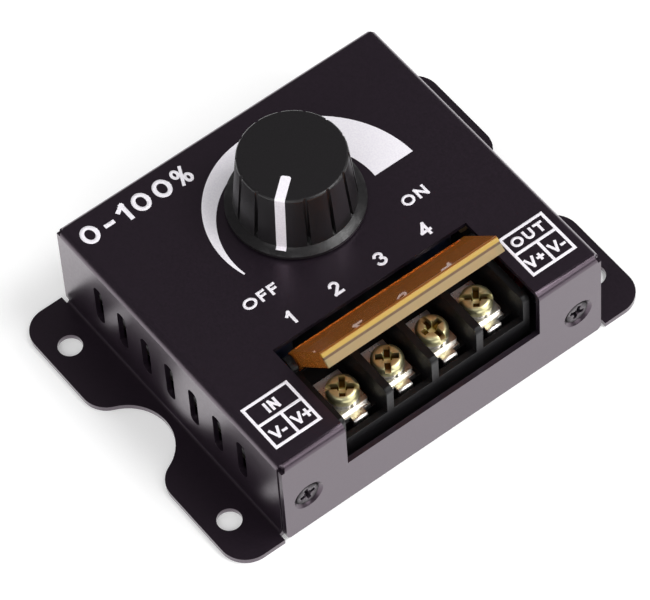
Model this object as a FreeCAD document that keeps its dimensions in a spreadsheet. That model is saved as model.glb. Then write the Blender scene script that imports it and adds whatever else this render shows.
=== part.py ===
import FreeCAD, Part
import math
import os
import Sketcher

from FreeCAD import Placement, Rotation, Vector

# Low-voltage rotary dimmer for a light strip, in a folded steel box with ears.
# Millimetres and degrees. X runs along the terminal side, Y to the back, Z up.
# The origin is on the mounting surface, under the middle of the box.

DIMENSIONS = {
    # folded steel cover
    "box_width": 68.0,
    "box_depth": 63.0,
    "box_height": 21.5,
    "gauge": 1.0,
    "bend": 1.5,
    "seam": 0.2,
    "flap_inset": 0.2,
    "flap_lift": 0.1,
    "relief_radius": 0.6,
    # mounting ears
    "ear_reach": 43.9,
    "ear_depth": 63.6,
    "ear_corner": 5.0,
    "waist_radius": 8.5,
    "waist_centre_y": 12.4,
    "ear_hole": 2.2,
    "ear_hole_x": 39.3,
    "ear_hole_y": 22.7,
    # vent slots
    "slot_count": 7,
    "slot_step": 6.7,
    "slot_low": 7.6,
    "slot_high": 14.7,
    "slot_radius": 1.2,
    # cover screws
    "cover_screw_x": 28.8,
    "cover_screw_z": 8.9,
    "cover_screw_head": 2.75,
    "screw_core": 1.45,
    "cover_screw_length": 5.0,
    # base plate and board
    "base_gap": 0.2,
    "lip_height": 4.0,
    "tab_top": 12.5,
    "tab_inner_x": 24.5,
    "tab_gap": 0.1,
    "board_width": 62.0,
    "board_depth": 57.0,
    "board_under": 5.0,
    "board_gauge": 1.6,
    "board_screw_x": 28.0,
    "board_screw_y": 23.0,
    # terminal block
    "pitch": 9.5,
    "block_half": 20.2,
    "block_front": -29.2,
    "block_back": -12.0,
    "barrier": 1.45,
    "barrier_top": 19.3,
    "seat_top": 12.6,
    "cutout_half": 20.5,
    "cutout_back": -11.75,
    "cutout_floor": 10.6,
    "screw_line": -22.2,
    # flip cover
    "hinge_y": -15.0,
    "hinge_z": 19.9,
    "hinge_pin": 0.9,
    "flip_open": 48.0,
    "flip_half": 18.5,
    "flip_plate": 1.2,
    "flip_reach": 13.96,
    "flip_back": 0.6,
    "flip_top": 2.02,
    "flip_lip": 3.0,
    # control knob
    "knob_x": 0.9,
    "knob_y": 9.85,
    "knob_top": 35.0,
    "knob_foot": 21.9,
    "knob_top_radius": 9.6,
    "knob_base_radius": 10.7,
    "skirt_radius": 12.2,
    "skirt_top": 23.3,
    "skirt_edge": 22.55,
    "flute_count": 14,
    "flute_width": 0.75,
    "pointer_angle": -140.0,
    "pointer_width": 1.76,
    "pointer_start": 4.4,
    "pointer_end": 11.3,
    "pointer_depth": 0.6,
    "pointer_corner": 0.4,
    # potentiometer
    "shaft_radius": 3.0,
    "bush_radius": 3.5,
    "can_radius": 8.0,
    "can_height": 7.0,
}

BOARD_SCREW_CORNERS = ((-1, -1), (1, -1), (1, 1), (-1, 1))
TERMINAL_STEPS = (-1.5, -0.5, 0.5, 1.5)
MOSFET_X = (-18.0, -6.0, 6.0, 18.0)
RUNNING_FIT = 0.05


class Length:
    """A size that carries its number and the formula that binds it to the sheet."""

    def __init__(self, number, formula):
        self.number = float(number)
        self.formula = formula

    def joined(self, other, sign, number):
        return Length(number, f"({self.formula} {sign} {other.formula})")

    def __add__(self, other):
        other = length(other)
        return self.joined(other, "+", self.number + other.number)

    def __radd__(self, other):
        return length(other) + self

    def __sub__(self, other):
        other = length(other)
        return self.joined(other, "-", self.number - other.number)

    def __rsub__(self, other):
        return length(other) - self

    def __mul__(self, other):
        other = length(other)
        return self.joined(other, "*", self.number * other.number)

    def __rmul__(self, other):
        return length(other) * self

    def __truediv__(self, other):
        other = length(other)
        return self.joined(other, "/", self.number / other.number)

    def __neg__(self):
        return Length(-self.number, f"(0 - {self.formula})")


def length(value):
    """Turn a plain number into a Length, and leave a Length as it is."""
    return value if isinstance(value, Length) else Length(value, f"{value:.6g}")


def root(value):
    return Length(math.sqrt(value.number), f"sqrt({value.formula})")


class Sheet:
    """The spreadsheet of driving dimensions. Each alias is read as a Length."""

    def __init__(self, doc):
        self.cells = doc.addObject("Spreadsheet::Sheet", "dims")
        for row, (alias, value) in enumerate(DIMENSIONS.items(), start=1):
            self.cells.set(f"A{row}", alias.replace("_", " "))
            self.cells.set(f"B{row}", str(value))
            self.cells.setAlias(f"B{row}", alias)
        doc.recompute()

    def __getattr__(self, alias):
        return Length(DIMENSIONS[alias], f"dims.{alias}")


doc = FreeCAD.newDocument("dimmer")
d = Sheet(doc)
nodes = {}

# Places that several pieces share, worked out from the driving dimensions
half_w = d.box_width / 2
half_d = d.box_depth / 2
inner_bend = d.bend - d.gauge
wall_half = half_d - d.gauge - d.seam
flap_half = half_w - d.flap_inset
panel_under = d.box_height - d.gauge
base_half_x = half_w - d.gauge - d.base_gap
base_half_y = half_d - d.gauge - d.tab_gap
board_top = d.board_under + d.board_gauge
contact_top = d.seat_top + 0.8
well_floor = d.seat_top - 4.1
washer_top = contact_top + 0.7
spring_top = washer_top + 0.8
can_floor = panel_under - 0.05 - d.can_height
heat_top = board_top + 1.5
block_shell = length(1.2)
block_shoulder = d.barrier_top - 1.9
leg_half = length(1.45)
leg_front = length(-17.8)
leg_back = length(-17.0)
nose_front = length(-27.4)
knob_rim = length(0.5)
skirt_fall = (d.skirt_top - d.skirt_edge) / (d.skirt_radius - d.knob_base_radius)


def origin_plane(body, role):
    return next(item for item in body.Origin.OriginFeatures if item.Role == role)


def new_body(label, group=False):
    """Start a sub-part whose Label is its node name. A group holds separate solids."""
    body = doc.addObject("PartDesign::Body", label)
    body.Label = label
    if group:
        body.AllowCompound = True
    nodes[label] = body
    return body


def new_sketch(body, plane, offset=0):
    """Put a sketch on one of the body's own origin planes, moved along its normal."""
    sketch = body.newObject("Sketcher::SketchObject", f"{body.Name}_sketch")
    sketch.AttachmentSupport = [(origin_plane(body, plane), "")]
    sketch.MapMode = "FlatFace"
    offset = length(offset)
    sketch.AttachmentOffset = Placement(Vector(0, 0, offset.number), Rotation())
    sketch.setExpression("AttachmentOffset.Base.z", offset.formula)
    return sketch


def constrain(sketch, kind, place, value):
    """Add a dimension to a sketch and bind it to the sheet."""
    index = sketch.addConstraint(Sketcher.Constraint(kind, *place, value.number))
    sketch.setExpression(f"Constraints[{index}]", value.formula)


def pin_point(sketch, geometry, end, point):
    """Fix one point of a sketch by its two coordinates."""
    constrain(sketch, "DistanceX", (geometry, end), length(point[0]))
    constrain(sketch, "DistanceY", (geometry, end), length(point[1]))


def add_arc(sketch, start, end, radius):
    """Add an arc between two points. A positive radius turns to the left."""
    chord = end - start
    sagitta_side = Vector(-chord.y, chord.x, 0).normalize()
    if radius < 0:
        sagitta_side = -sagitta_side
    rise = math.sqrt(max(radius * radius - chord.Length ** 2 / 4, 0))
    centre = (start + end) / 2 + sagitta_side * rise
    first, last = (start, end) if radius > 0 else (end, start)
    angles = [math.atan2(p.y - centre.y, p.x - centre.x) for p in (first, last)]
    circle = Part.Circle(centre, Vector(0, 0, 1), abs(radius))
    return sketch.addGeometry(Part.ArcOfCircle(circle, angles[0], angles[1]))


def outline(sketch, points):
    """Draw a closed outline. A third value is the radius of the side that leaves a point."""
    places = [Vector(length(p[0]).number, length(p[1]).number, 0) for p in points]
    sides = []
    for index, point in enumerate(points):
        start, end = places[index], places[(index + 1) % len(points)]
        if len(point) == 3:
            radius = length(point[2])
            side = add_arc(sketch, start, end, radius.number)
            ends = (1, 2) if radius.number > 0 else (2, 1)
            size = radius if radius.number > 0 else -radius
            constrain(sketch, "Radius", (side,), size)
        else:
            side = sketch.addGeometry(Part.LineSegment(start, end))
            ends = (1, 2)
        pin_point(sketch, side, ends[0], point)
        sides.append((side, ends))
    for (side, ends), (following, next_ends) in zip(sides, sides[1:] + sides[:1]):
        joint = Sketcher.Constraint("Coincident", side, ends[1], following, next_ends[0])
        sketch.addConstraint(joint)


def rectangle(sketch, x_low, y_low, x_high, y_high):
    outline(sketch, [(x_low, y_low), (x_high, y_low), (x_high, y_high), (x_low, y_high)])


def leg_rectangles(sketch, room):
    """Draw the four solder legs of the terminals, widened on every side."""
    half, front, back = leg_half + room, leg_front - room, leg_back + room
    for step in TERMINAL_STEPS:
        x = d.pitch * step
        rectangle(sketch, x - half, front, x + half, back)


def circle(sketch, x, y, radius):
    radius = length(radius)
    place = Vector(length(x).number, length(y).number, 0)
    ring = sketch.addGeometry(Part.Circle(place, Vector(0, 0, 1), radius.number))
    pin_point(sketch, ring, 3, (x, y))
    constrain(sketch, "Radius", (ring,), radius)


def hexagon(sketch, x, y, across_flats):
    """Draw a hexagon with two corners on the line through its centre along X."""
    corner = length(across_flats) / math.sqrt(3)
    x, y = length(x), length(y)
    turns = [math.radians(60 * step) for step in range(6)]
    outline(sketch, [(x + corner * math.cos(a), y + corner * math.sin(a)) for a in turns])


def slot(sketch, start, end, radius):
    """Draw a round-ended slot between two centres."""
    places = [Vector(length(p[0]).number, length(p[1]).number, 0) for p in (start, end)]
    radius = length(radius)
    along = (places[1] - places[0]).normalize()
    side = Vector(-along.y, along.x, 0) * radius.number
    turn = math.atan2(side.y, side.x)
    arcs = []
    for place, first in ((places[0], turn), (places[1], turn + math.pi)):
        ring = Part.Circle(place, Vector(0, 0, 1), radius.number)
        arcs.append(sketch.addGeometry(Part.ArcOfCircle(ring, first, first + math.pi)))
    flanks = (
        sketch.addGeometry(Part.LineSegment(places[0] - side, places[1] - side)),
        sketch.addGeometry(Part.LineSegment(places[1] + side, places[0] + side)),
    )
    joints = ((arcs[0], 2, flanks[0], 1), (flanks[0], 2, arcs[1], 1),
              (arcs[1], 2, flanks[1], 1), (flanks[1], 2, arcs[0], 1))
    for joint in joints:
        sketch.addConstraint(Sketcher.Constraint("Tangent", *joint))
    for arc, point in zip(arcs, (start, end)):
        pin_point(sketch, arc, 3, point)
    constrain(sketch, "Radius", (arcs[0],), radius)
    sketch.addConstraint(Sketcher.Constraint("Equal", arcs[0], arcs[1]))


def pad(body, sketch, height, symmetric=False, backwards=False):
    feature = body.newObject("PartDesign::Pad", f"{body.Name}_pad")
    feature.Profile = sketch
    if symmetric:
        feature.SideType = "Symmetric"
    feature.Reversed = backwards
    height = length(height)
    feature.Length = height.number
    feature.setExpression("Length", height.formula)
    return settle(body, feature)


def pocket(body, sketch, depth=None, symmetric=False, backwards=False):
    """Cut a sketch out of the body, to a depth or right through."""
    before = body.Shape.Volume
    feature = body.newObject("PartDesign::Pocket", f"{body.Name}_pocket")
    feature.Profile = sketch
    if symmetric:
        feature.SideType = "Symmetric"
    feature.Reversed = backwards
    if depth is None:
        feature.Type = "ThroughAll"
    else:
        depth = length(depth)
        feature.Length = depth.number
        feature.setExpression("Length", depth.formula)
    return settle(body, feature, before)


def revolve(body, sketch):
    """Turn a sketch on the XZ plane once round the body's own Z axis."""
    feature = body.newObject("PartDesign::Revolution", f"{body.Name}_revolution")
    feature.Profile = sketch
    feature.ReferenceAxis = (sketch, ["V_Axis"])
    feature.Angle = 360
    return settle(body, feature)


def settle(body, feature, before=None):
    """Recompute, and stop where a feature failed or a cut removed nothing."""
    body.Tip = feature
    doc.recompute()
    if "Invalid" in feature.State or feature.Shape.isNull():
        raise RuntimeError(f"{feature.Name} failed")
    if before is not None and body.Shape.Volume >= before - 1e-6:
        raise RuntimeError(f"{feature.Name} cut nothing")
    return feature


def repeat_along(body, feature, direction, extent, count):
    """Repeat a feature along an axis of its sketch."""
    pattern = body.newObject("PartDesign::LinearPattern", f"{body.Name}_row")
    pattern.Originals = [feature]
    pattern.Direction = direction
    pattern.Length = extent.number
    pattern.setExpression("Length", extent.formula)
    pattern.Occurrences = int(count.number)
    pattern.setExpression("Occurrences", count.formula)
    return settle(body, pattern)


def repeat_round(body, feature, sketch, count):
    """Repeat a feature round the body's own Z axis."""
    pattern = body.newObject("PartDesign::PolarPattern", f"{body.Name}_ring")
    pattern.Originals = [feature]
    pattern.Axis = (sketch, ["N_Axis"])
    pattern.Angle = 360
    pattern.Occurrences = int(count.number)
    pattern.setExpression("Occurrences", count.formula)
    return settle(body, pattern)


def round_edges(body, radius, wanted):
    """Fillet the edges whose middle point passes a test."""
    base = body.Tip
    names = [f"Edge{i}" for i, edge in enumerate(base.Shape.Edges, start=1)
             if wanted(edge.CenterOfMass, edge)]
    if not names:
        raise RuntimeError(f"{body.Name} has no such edge")
    fillet = body.newObject("PartDesign::Fillet", f"{body.Name}_fillet")
    fillet.Base = (base, names)
    radius = length(radius)
    fillet.Radius = radius.number
    fillet.setExpression("Radius", radius.formula)
    return settle(body, fillet)


def cone_cut(body, centre, direction, small, large, height):
    """Countersink: a cone that opens along the direction, from its centre."""
    before = body.Shape.Volume
    cone = body.newObject("PartDesign::SubtractiveCone", f"{body.Name}_countersink")
    for name, value in (("Radius1", small), ("Radius2", large), ("Height", height)):
        value = length(value)
        setattr(cone, name, value.number)
        cone.setExpression(name, value.formula)
    place(cone, centre, Rotation(Vector(0, 0, 1), direction))
    return settle(body, cone, before)


def place(item, centre, rotation=Rotation()):
    """Give an object its Placement, with its position bound to the sheet."""
    centre = [length(value) for value in centre]
    item.Placement = Placement(Vector(*[value.number for value in centre]), rotation)
    for axis, value in zip("xyz", centre):
        item.setExpression(f"Placement.Base.{axis}", value.formula)


def group_of(label, unit, places):
    """Copy one fastener to each of its places, as one node of separate solids."""
    links = []
    for centre, rotation in places:
        link = doc.addObject("App::Link", f"{label}_link")
        link.LinkedObject = unit
        link.LinkTransform = False
        place(link, centre, rotation)
        links.append(link)
    compound = doc.addObject("Part::Compound", label)
    compound.Label = label
    compound.Links = links
    nodes.pop(unit.Label)
    nodes[label] = compound
    return compound


def side_profile():
    """Bent strip across the box: foot, wall, panel, wall, foot."""
    crown, foot = d.box_height - d.bend, d.bend
    right = [
        (half_w + inner_bend, 0, -d.bend),
        (half_w - d.gauge, foot),
        (half_w - d.gauge, crown, inner_bend),
        (half_w - d.bend, panel_under),
    ]
    left = [
        (-(half_w - d.bend), panel_under, inner_bend),
        (-(half_w - d.gauge), crown),
        (-(half_w - d.gauge), foot, -d.bend),
        (-(half_w + inner_bend), 0),
    ]
    outside = [
        (-(half_w + inner_bend), d.gauge, inner_bend),
        (-half_w, foot),
        (-half_w, crown, -d.bend),
        (-(half_w - d.bend), d.box_height),
        (half_w - d.bend, d.box_height, -d.bend),
        (half_w, crown),
        (half_w, foot, inner_bend),
        (half_w + inner_bend, d.gauge),
    ]
    return right + left + outside


def flap_profile():
    """Bent strip from front to back: flap, panel, flap."""
    crown = d.box_height - d.bend
    return [
        (-(half_d - d.gauge), d.flap_lift),
        (-(half_d - d.gauge), crown, -inner_bend),
        (-(half_d - d.bend), panel_under),
        (half_d - d.bend, panel_under, -inner_bend),
        (half_d - d.gauge, crown),
        (half_d - d.gauge, d.flap_lift),
        (half_d, d.flap_lift),
        (half_d, crown, d.bend),
        (half_d - d.bend, d.box_height),
        (-(half_d - d.bend), d.box_height, d.bend),
        (-half_d, crown),
        (-half_d, d.flap_lift),
    ]


def ear_profile(side):
    """Flange with two rounded ears and a waist between them, on one side of the box."""
    corner_x = d.ear_reach - d.ear_corner
    reach = d.ear_corner + d.waist_radius
    waist_x = root(reach * reach - d.waist_centre_y * d.waist_centre_y)
    touch_x = corner_x + waist_x * d.ear_corner / reach
    touch_y = d.waist_centre_y - d.waist_centre_y * d.ear_corner / reach
    edge_y = d.ear_depth / 2
    root_x = half_w + inner_bend
    bow, waist = d.ear_corner * side, -d.waist_radius * side
    return [
        (root_x * side, -edge_y),
        (corner_x * side, -edge_y, bow),
        (d.ear_reach * side, -(edge_y - d.ear_corner)),
        (d.ear_reach * side, -d.waist_centre_y, bow),
        (touch_x * side, -touch_y, waist),
        (touch_x * side, touch_y, bow),
        (d.ear_reach * side, d.waist_centre_y),
        (d.ear_reach * side, edge_y - d.ear_corner, bow),
        (corner_x * side, edge_y),
        (root_x * side, edge_y),
    ]


def corner_trim(side):
    """What the flaps must lose so that their top corners follow the side bends."""
    outer, top = half_w + 1, d.box_height + 1
    return [
        ((half_w - d.bend) * side, d.box_height, -d.bend * side),
        (half_w * side, d.box_height - d.bend),
        (outer * side, d.box_height - d.bend),
        (outer * side, top),
        ((half_w - d.bend) * side, top),
    ]


def make_top_cover():
    """One folded sheet: panel, slotted side walls with ears, and flaps at front and back."""
    body = new_body("top_cover")
    strip = new_sketch(body, "XZ_Plane")
    outline(strip, side_profile())
    pad(body, strip, wall_half * 2, symmetric=True)

    flaps = new_sketch(body, "YZ_Plane")
    outline(flaps, flap_profile())
    pad(body, flaps, flap_half * 2, symmetric=True)
    trim = new_sketch(body, "XZ_Plane")
    for side in (-1, 1):
        outline(trim, corner_trim(side))
    pocket(body, trim, symmetric=True)

    ears = new_sketch(body, "XY_Plane")
    for side in (-1, 1):
        outline(ears, ear_profile(side))
        for end in (-1, 1):
            circle(ears, d.ear_hole_x * side, d.ear_hole_y * end, d.ear_hole)
    pad(body, ears, d.gauge)

    cut_vent_slots(body)
    cut_panel_openings(body)
    for side, end in BOARD_SCREW_CORNERS:
        centre = (d.cover_screw_x * side, (half_d - d.gauge) * end, d.cover_screw_z)
        large = d.cover_screw_head + 0.25
        cone_cut(body, centre, Vector(0, end, 0), large - d.gauge, large, d.gauge)
    round_edges(body, 1.0, is_flap_corner)


def is_flap_corner(middle, edge):
    """True for the short edges at the lower corners of the two flaps."""
    low = abs(middle.z - d.flap_lift.number) < 0.01
    outer = abs(abs(middle.x) - flap_half.number) < 0.01
    return low and outer and abs(edge.Length - d.gauge.number) < 0.01


def cut_vent_slots(body):
    """A row of upright slots, punched through both side walls."""
    vents = new_sketch(body, "YZ_Plane")
    extent = d.slot_step * (d.slot_count - 1)
    first_y = extent / -2
    slot(vents, (first_y, d.slot_low), (first_y, d.slot_high), d.slot_radius)
    first = pocket(body, vents, symmetric=True)
    repeat_along(body, first, (vents, ["H_Axis"]), extent, d.slot_count)


def cut_panel_openings(body):
    """The terminal cut-out, the shaft hole and the relief notches at the corners."""
    cutout = new_sketch(body, "XZ_Plane", half_d + 1)
    rectangle(cutout, -d.cutout_half, d.cutout_floor, d.cutout_half, d.box_height + 1)
    pocket(body, cutout, half_d + 1 + d.cutout_back)

    holes = new_sketch(body, "XY_Plane", d.box_height - d.bend - 0.1)
    circle(holes, d.knob_x, d.knob_y, d.bush_radius + 0.1)
    for side, end in BOARD_SCREW_CORNERS:
        notch_x, notch_y = half_w - d.gauge / 2, half_d - d.gauge / 2
        circle(holes, notch_x * side, notch_y * end, d.relief_radius)
    pocket(body, holes, backwards=True)


def make_base_plate():
    """Folded floor with upturned lips, and four tapped tabs for the cover screws."""
    body = new_body("base_plate")
    channel = new_sketch(body, "YZ_Plane")
    inner = base_half_y - d.gauge
    outline(channel, [
        (-(base_half_y - d.bend), 0),
        (base_half_y - d.bend, 0, d.bend),
        (base_half_y, d.bend),
        (base_half_y, d.tab_top),
        (inner, d.tab_top),
        (inner, d.bend, -inner_bend),
        (base_half_y - d.bend, d.gauge),
        (-(base_half_y - d.bend), d.gauge, -inner_bend),
        (-inner, d.bend),
        (-inner, d.tab_top),
        (-base_half_y, d.tab_top),
        (-base_half_y, d.bend, d.bend),
    ])
    pad(body, channel, base_half_x * 2, symmetric=True)

    between_tabs = new_sketch(body, "XZ_Plane")
    rectangle(between_tabs, -d.tab_inner_x, d.lip_height, d.tab_inner_x, d.tab_top + 1)
    for side in (-1, 1):
        circle(between_tabs, d.cover_screw_x * side, d.cover_screw_z, d.screw_core + 0.05)
    pocket(body, between_tabs, symmetric=True)

    feet = new_sketch(body, "XY_Plane")
    for side, end in BOARD_SCREW_CORNERS:
        circle(feet, d.board_screw_x * side, d.board_screw_y * end, 2.0)
    pocket(body, feet, symmetric=True)
    for side, end in BOARD_SCREW_CORNERS:
        centre = (d.cover_screw_x * side, (base_half_y - 0.4) * end, d.cover_screw_z)
        cone_cut(body, centre, Vector(0, end, 0), d.screw_core, d.screw_core + 0.4, 0.4)


def countersunk_screw():
    """Flat-head screw along Z, with its head on the plane z = 0 and its tip below."""
    body = new_body("countersunk_screw")
    profile = new_sketch(body, "XZ_Plane")
    rim = 0.15
    neck = rim + d.cover_screw_head - d.screw_core
    outline(profile, [
        (0, 0),
        (d.cover_screw_head, 0),
        (d.cover_screw_head, -rim),
        (d.screw_core, -neck),
        (d.screw_core, -(d.cover_screw_length - 0.5)),
        (d.screw_core - 0.5, -d.cover_screw_length),
        (0, -d.cover_screw_length),
    ])
    revolve(body, profile)
    return body


def pan_screw(label, head_radius, head_height, core, shank):
    """Pan-head screw along Z, seated on z = 0 with a domed edge and a slot."""
    body = new_body(label)
    profile = new_sketch(body, "XZ_Plane")
    head_radius, head_height = length(head_radius), length(head_height)
    core, shank = length(core), length(shank)
    edge = head_height * 0.45
    outline(profile, [
        (0, -shank),
        (core - 0.35, -shank),
        (core, -shank + 0.35),
        (core, 0),
        (head_radius, 0),
        (head_radius, head_height - edge, edge),
        (head_radius - edge, head_height),
        (0, head_height),
    ])
    revolve(body, profile)
    return body


def cut_slot(body, half_length, width, top, depth):
    """Screwdriver slot across a head, from its top face down."""
    sketch = new_sketch(body, "XY_Plane", top)
    rectangle(sketch, -length(half_length), -length(width) / 2, half_length, length(width) / 2)
    pocket(body, sketch, depth)


def make_cover_screws():
    unit = countersunk_screw()
    seat = half_d - 0.05
    places = []
    for side, end in BOARD_SCREW_CORNERS:
        outward = Rotation(Vector(0, 0, 1), Vector(0, end, 0))
        places.append(((d.cover_screw_x * side, seat * end, d.cover_screw_z), outward))
    group_of("cover_screws", unit, places)


def make_board():
    """Circuit board with clearance holes for its screws and slots for the terminal legs."""
    body = new_body("circuit_board")
    sketch = new_sketch(body, "XY_Plane", d.board_under)
    half_x, half_y = d.board_width / 2, d.board_depth / 2
    screw_hole = 1.6
    rectangle(sketch, -half_x, -half_y, half_x, half_y)
    for side, end in BOARD_SCREW_CORNERS:
        circle(sketch, d.board_screw_x * side, d.board_screw_y * end, screw_hole)
    leg_rectangles(sketch, 0.1)
    pad(body, sketch, d.board_gauge)


def make_board_standoffs():
    """Hexagonal pillars pressed into the floor, with a tapped bore."""
    body = new_body("board_standoffs", group=True)
    across_flats, spigot, core = 5.0, 1.95, 1.25
    recess = 0.05
    pillars = new_sketch(body, "XY_Plane", d.gauge)
    spigots = new_sketch(body, "XY_Plane", recess)
    bores = new_sketch(body, "XY_Plane", d.gauge + 0.5)
    for side, end in BOARD_SCREW_CORNERS:
        x, y = d.board_screw_x * side, d.board_screw_y * end
        hexagon(pillars, x, y, across_flats)
        circle(spigots, x, y, spigot)
        circle(bores, x, y, core)
    pad(body, pillars, d.board_under - d.gauge)
    pad(body, spigots, d.gauge)
    pocket(body, bores, backwards=True)


def make_board_screws():
    unit = pan_screw("board_screw", 2.6, 1.6, 1.2, 4.0)
    cut_slot(unit, 3.0, 0.8, 1.6, 0.8)
    places = []
    for side, end in BOARD_SCREW_CORNERS:
        centre = (d.board_screw_x * side, d.board_screw_y * end, board_top)
        places.append((centre, Rotation()))
    group_of("board_screws", unit, places)


def make_insulation_sheet():
    """Thin sheet on the floor under the board, notched round the pillars."""
    body = new_body("insulation_sheet")
    margin, sheet_gauge, notch_radius = 1.0, 0.3, 3.1
    sketch = new_sketch(body, "XY_Plane", d.gauge)
    half_x, half_y = d.board_width / 2 - margin, d.board_depth / 2 - margin
    rectangle(sketch, -half_x, -half_y, half_x, half_y)
    pad(body, sketch, sheet_gauge)
    notches = new_sketch(body, "XY_Plane", d.gauge)
    for side, end in BOARD_SCREW_CORNERS:
        circle(notches, d.board_screw_x * side, d.board_screw_y * end, notch_radius)
    pocket(body, notches, backwards=True)


def barrier_profile():
    """Outline of a wall between two terminals, seen from the side."""
    front, back, top = d.block_front, d.block_back, d.barrier_top
    soft = 1.0
    return [
        (front, board_top + 1),
        (back, board_top + 1),
        (back, block_shoulder),
        (back - block_shell, top),
        (front + soft, top, soft),
        (front, top - soft),
    ]


def make_terminal_block():
    """Moulded barrier strip with four bays, hinge ears and a lip along its front."""
    body = new_body("terminal_block")
    section = new_sketch(body, "YZ_Plane")
    rear_wall = d.block_back - block_shell
    lip_back = d.block_front + block_shell
    lip_top = d.seat_top + 0.8
    trough_back, trough_floor = d.block_front + 3.0, d.seat_top - 2.1
    outline(section, [
        (d.block_front, board_top),
        (d.block_back, board_top),
        (d.block_back, block_shoulder),
        (rear_wall, block_shoulder),
        (rear_wall, d.seat_top),
        (trough_back, d.seat_top),
        (trough_back, trough_floor),
        (lip_back, trough_floor),
        (lip_back, lip_top),
        (d.block_front, lip_top),
    ])
    pad(body, section, d.block_half * 2, symmetric=True)

    inner = new_sketch(body, "YZ_Plane", -d.pitch)
    outline(inner, barrier_profile())
    barrier = pad(body, inner, d.barrier, symmetric=True)
    barrier_count = length(len(TERMINAL_STEPS) - 1)
    repeat_along(body, barrier, (inner, ["N_Axis"]), d.pitch * 2, barrier_count)

    end_wall = d.block_half - (d.flip_half + 0.3)
    hinge_ear = 1.6
    for side in (-1, 1):
        middle = (d.block_half - end_wall / 2) * side
        wall = new_sketch(body, "YZ_Plane", middle)
        outline(wall, barrier_profile())
        pad(body, wall, end_wall, symmetric=True)
        ear = new_sketch(body, "YZ_Plane", middle)
        circle(ear, d.hinge_y, d.hinge_z, hinge_ear)
        pad(body, ear, end_wall, symmetric=True)

    pins = new_sketch(body, "YZ_Plane")
    circle(pins, d.hinge_y, d.hinge_z, d.hinge_pin + RUNNING_FIT)
    pocket(body, pins, symmetric=True)

    well_radius = 1.75
    wells = new_sketch(body, "XY_Plane", d.seat_top)
    for step in TERMINAL_STEPS:
        circle(wells, d.pitch * step, d.screw_line, well_radius)
    pocket(body, wells, d.seat_top - well_floor)
    legs = new_sketch(body, "XY_Plane", d.seat_top)
    leg_rectangles(legs, RUNNING_FIT)
    pocket(body, legs)


def make_terminal_contacts():
    """Plated plates under the screws, each with a bent front tab and a solder leg."""
    body = new_body("terminal_contacts", group=True)
    plate_half, plate_front = 2.95, -26.0
    thread_radius, nose_drop = 1.5, 2.1
    drop_back = nose_front + 0.7
    plates = new_sketch(body, "XY_Plane", d.seat_top)
    noses = new_sketch(body, "XY_Plane", d.seat_top)
    drops = new_sketch(body, "XY_Plane", contact_top)
    legs = new_sketch(body, "XY_Plane", contact_top)
    for step in TERMINAL_STEPS:
        x = d.pitch * step
        rectangle(plates, x - plate_half, plate_front, x + plate_half, leg_back)
        circle(plates, x, d.screw_line, thread_radius)
        rectangle(noses, x - leg_half, nose_front, x + leg_half, plate_front)
        rectangle(drops, x - leg_half, nose_front, x + leg_half, drop_back)
    leg_rectangles(legs, 0)
    pad(body, plates, contact_top - d.seat_top)
    pad(body, noses, contact_top - d.seat_top)
    pad(body, drops, nose_drop, backwards=True)
    pad(body, legs, contact_top - (d.board_under - 1.4), backwards=True)
    round_edges(body, 0.6, is_contact_bend)


def is_contact_bend(middle, edge):
    """True for the upper outer edge of each front tab."""
    on_top = abs(middle.z - contact_top.number) < 0.01
    across = abs(edge.Length - leg_half.number * 2) < 0.01
    return on_top and across and abs(middle.y - nose_front.number) < 0.01


def make_clamp(number, step):
    """Screw, spring washer and square washer of one terminal."""
    x = d.pitch * step
    half, hole, corner = 3.1, 1.6, 0.5
    washer_gauge = washer_top - contact_top
    washer = new_body(f"clamp_washer_{number}")
    square = new_sketch(washer, "XY_Plane", contact_top)
    rectangle(square, x - half, d.screw_line - half, x + half, d.screw_line + half)
    circle(square, x, d.screw_line, hole)
    pad(washer, square, washer_gauge)
    upright = washer_gauge.number
    round_edges(washer, corner, lambda middle, edge: abs(edge.Length - upright) < 0.01)

    ring_radius, ring_bore = 2.7, 1.55
    spring = new_body(f"split_washer_{number}")
    ring = new_sketch(spring, "XY_Plane", washer_top)
    circle(ring, x, d.screw_line, ring_radius)
    circle(ring, x, d.screw_line, ring_bore)
    pad(spring, ring, spring_top - washer_top)
    gap = new_sketch(spring, "XZ_Plane", -d.screw_line)
    half_gap, lean, over = 0.2, 0.3, 0.1
    outline(gap, [
        (x - half_gap - lean, washer_top - over),
        (x + half_gap - lean, washer_top - over),
        (x + half_gap + lean, spring_top + over),
        (x - half_gap + lean, spring_top + over),
    ])
    pocket(spring, gap, ring_radius + over, backwards=True)

    head_radius, head_height, core = 2.9, 2.0, 1.42
    slot_width, slot_depth = 0.7, 0.9
    shank = spring_top - (well_floor + 0.4)
    screw = pan_screw(f"terminal_screw_{number}", head_radius, head_height, core, shank)
    cut_slot(screw, head_radius + over, slot_width, head_height, slot_depth)
    place(screw, (x, d.screw_line, spring_top))


def flip_profile():
    """Section of the flip cover lying flat, with its hinge axis at the origin."""
    front, under = -d.flip_reach, d.flip_top - d.flip_plate
    lip_low = d.flip_top - d.flip_lip
    soft = 0.5
    return [
        (-d.flip_back, under),
        (-d.flip_back, d.flip_top),
        (front + soft, d.flip_top, soft),
        (front, d.flip_top - soft),
        (front, lip_low),
        (front + d.flip_plate, lip_low),
        (front + d.flip_plate, under),
    ]


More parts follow.
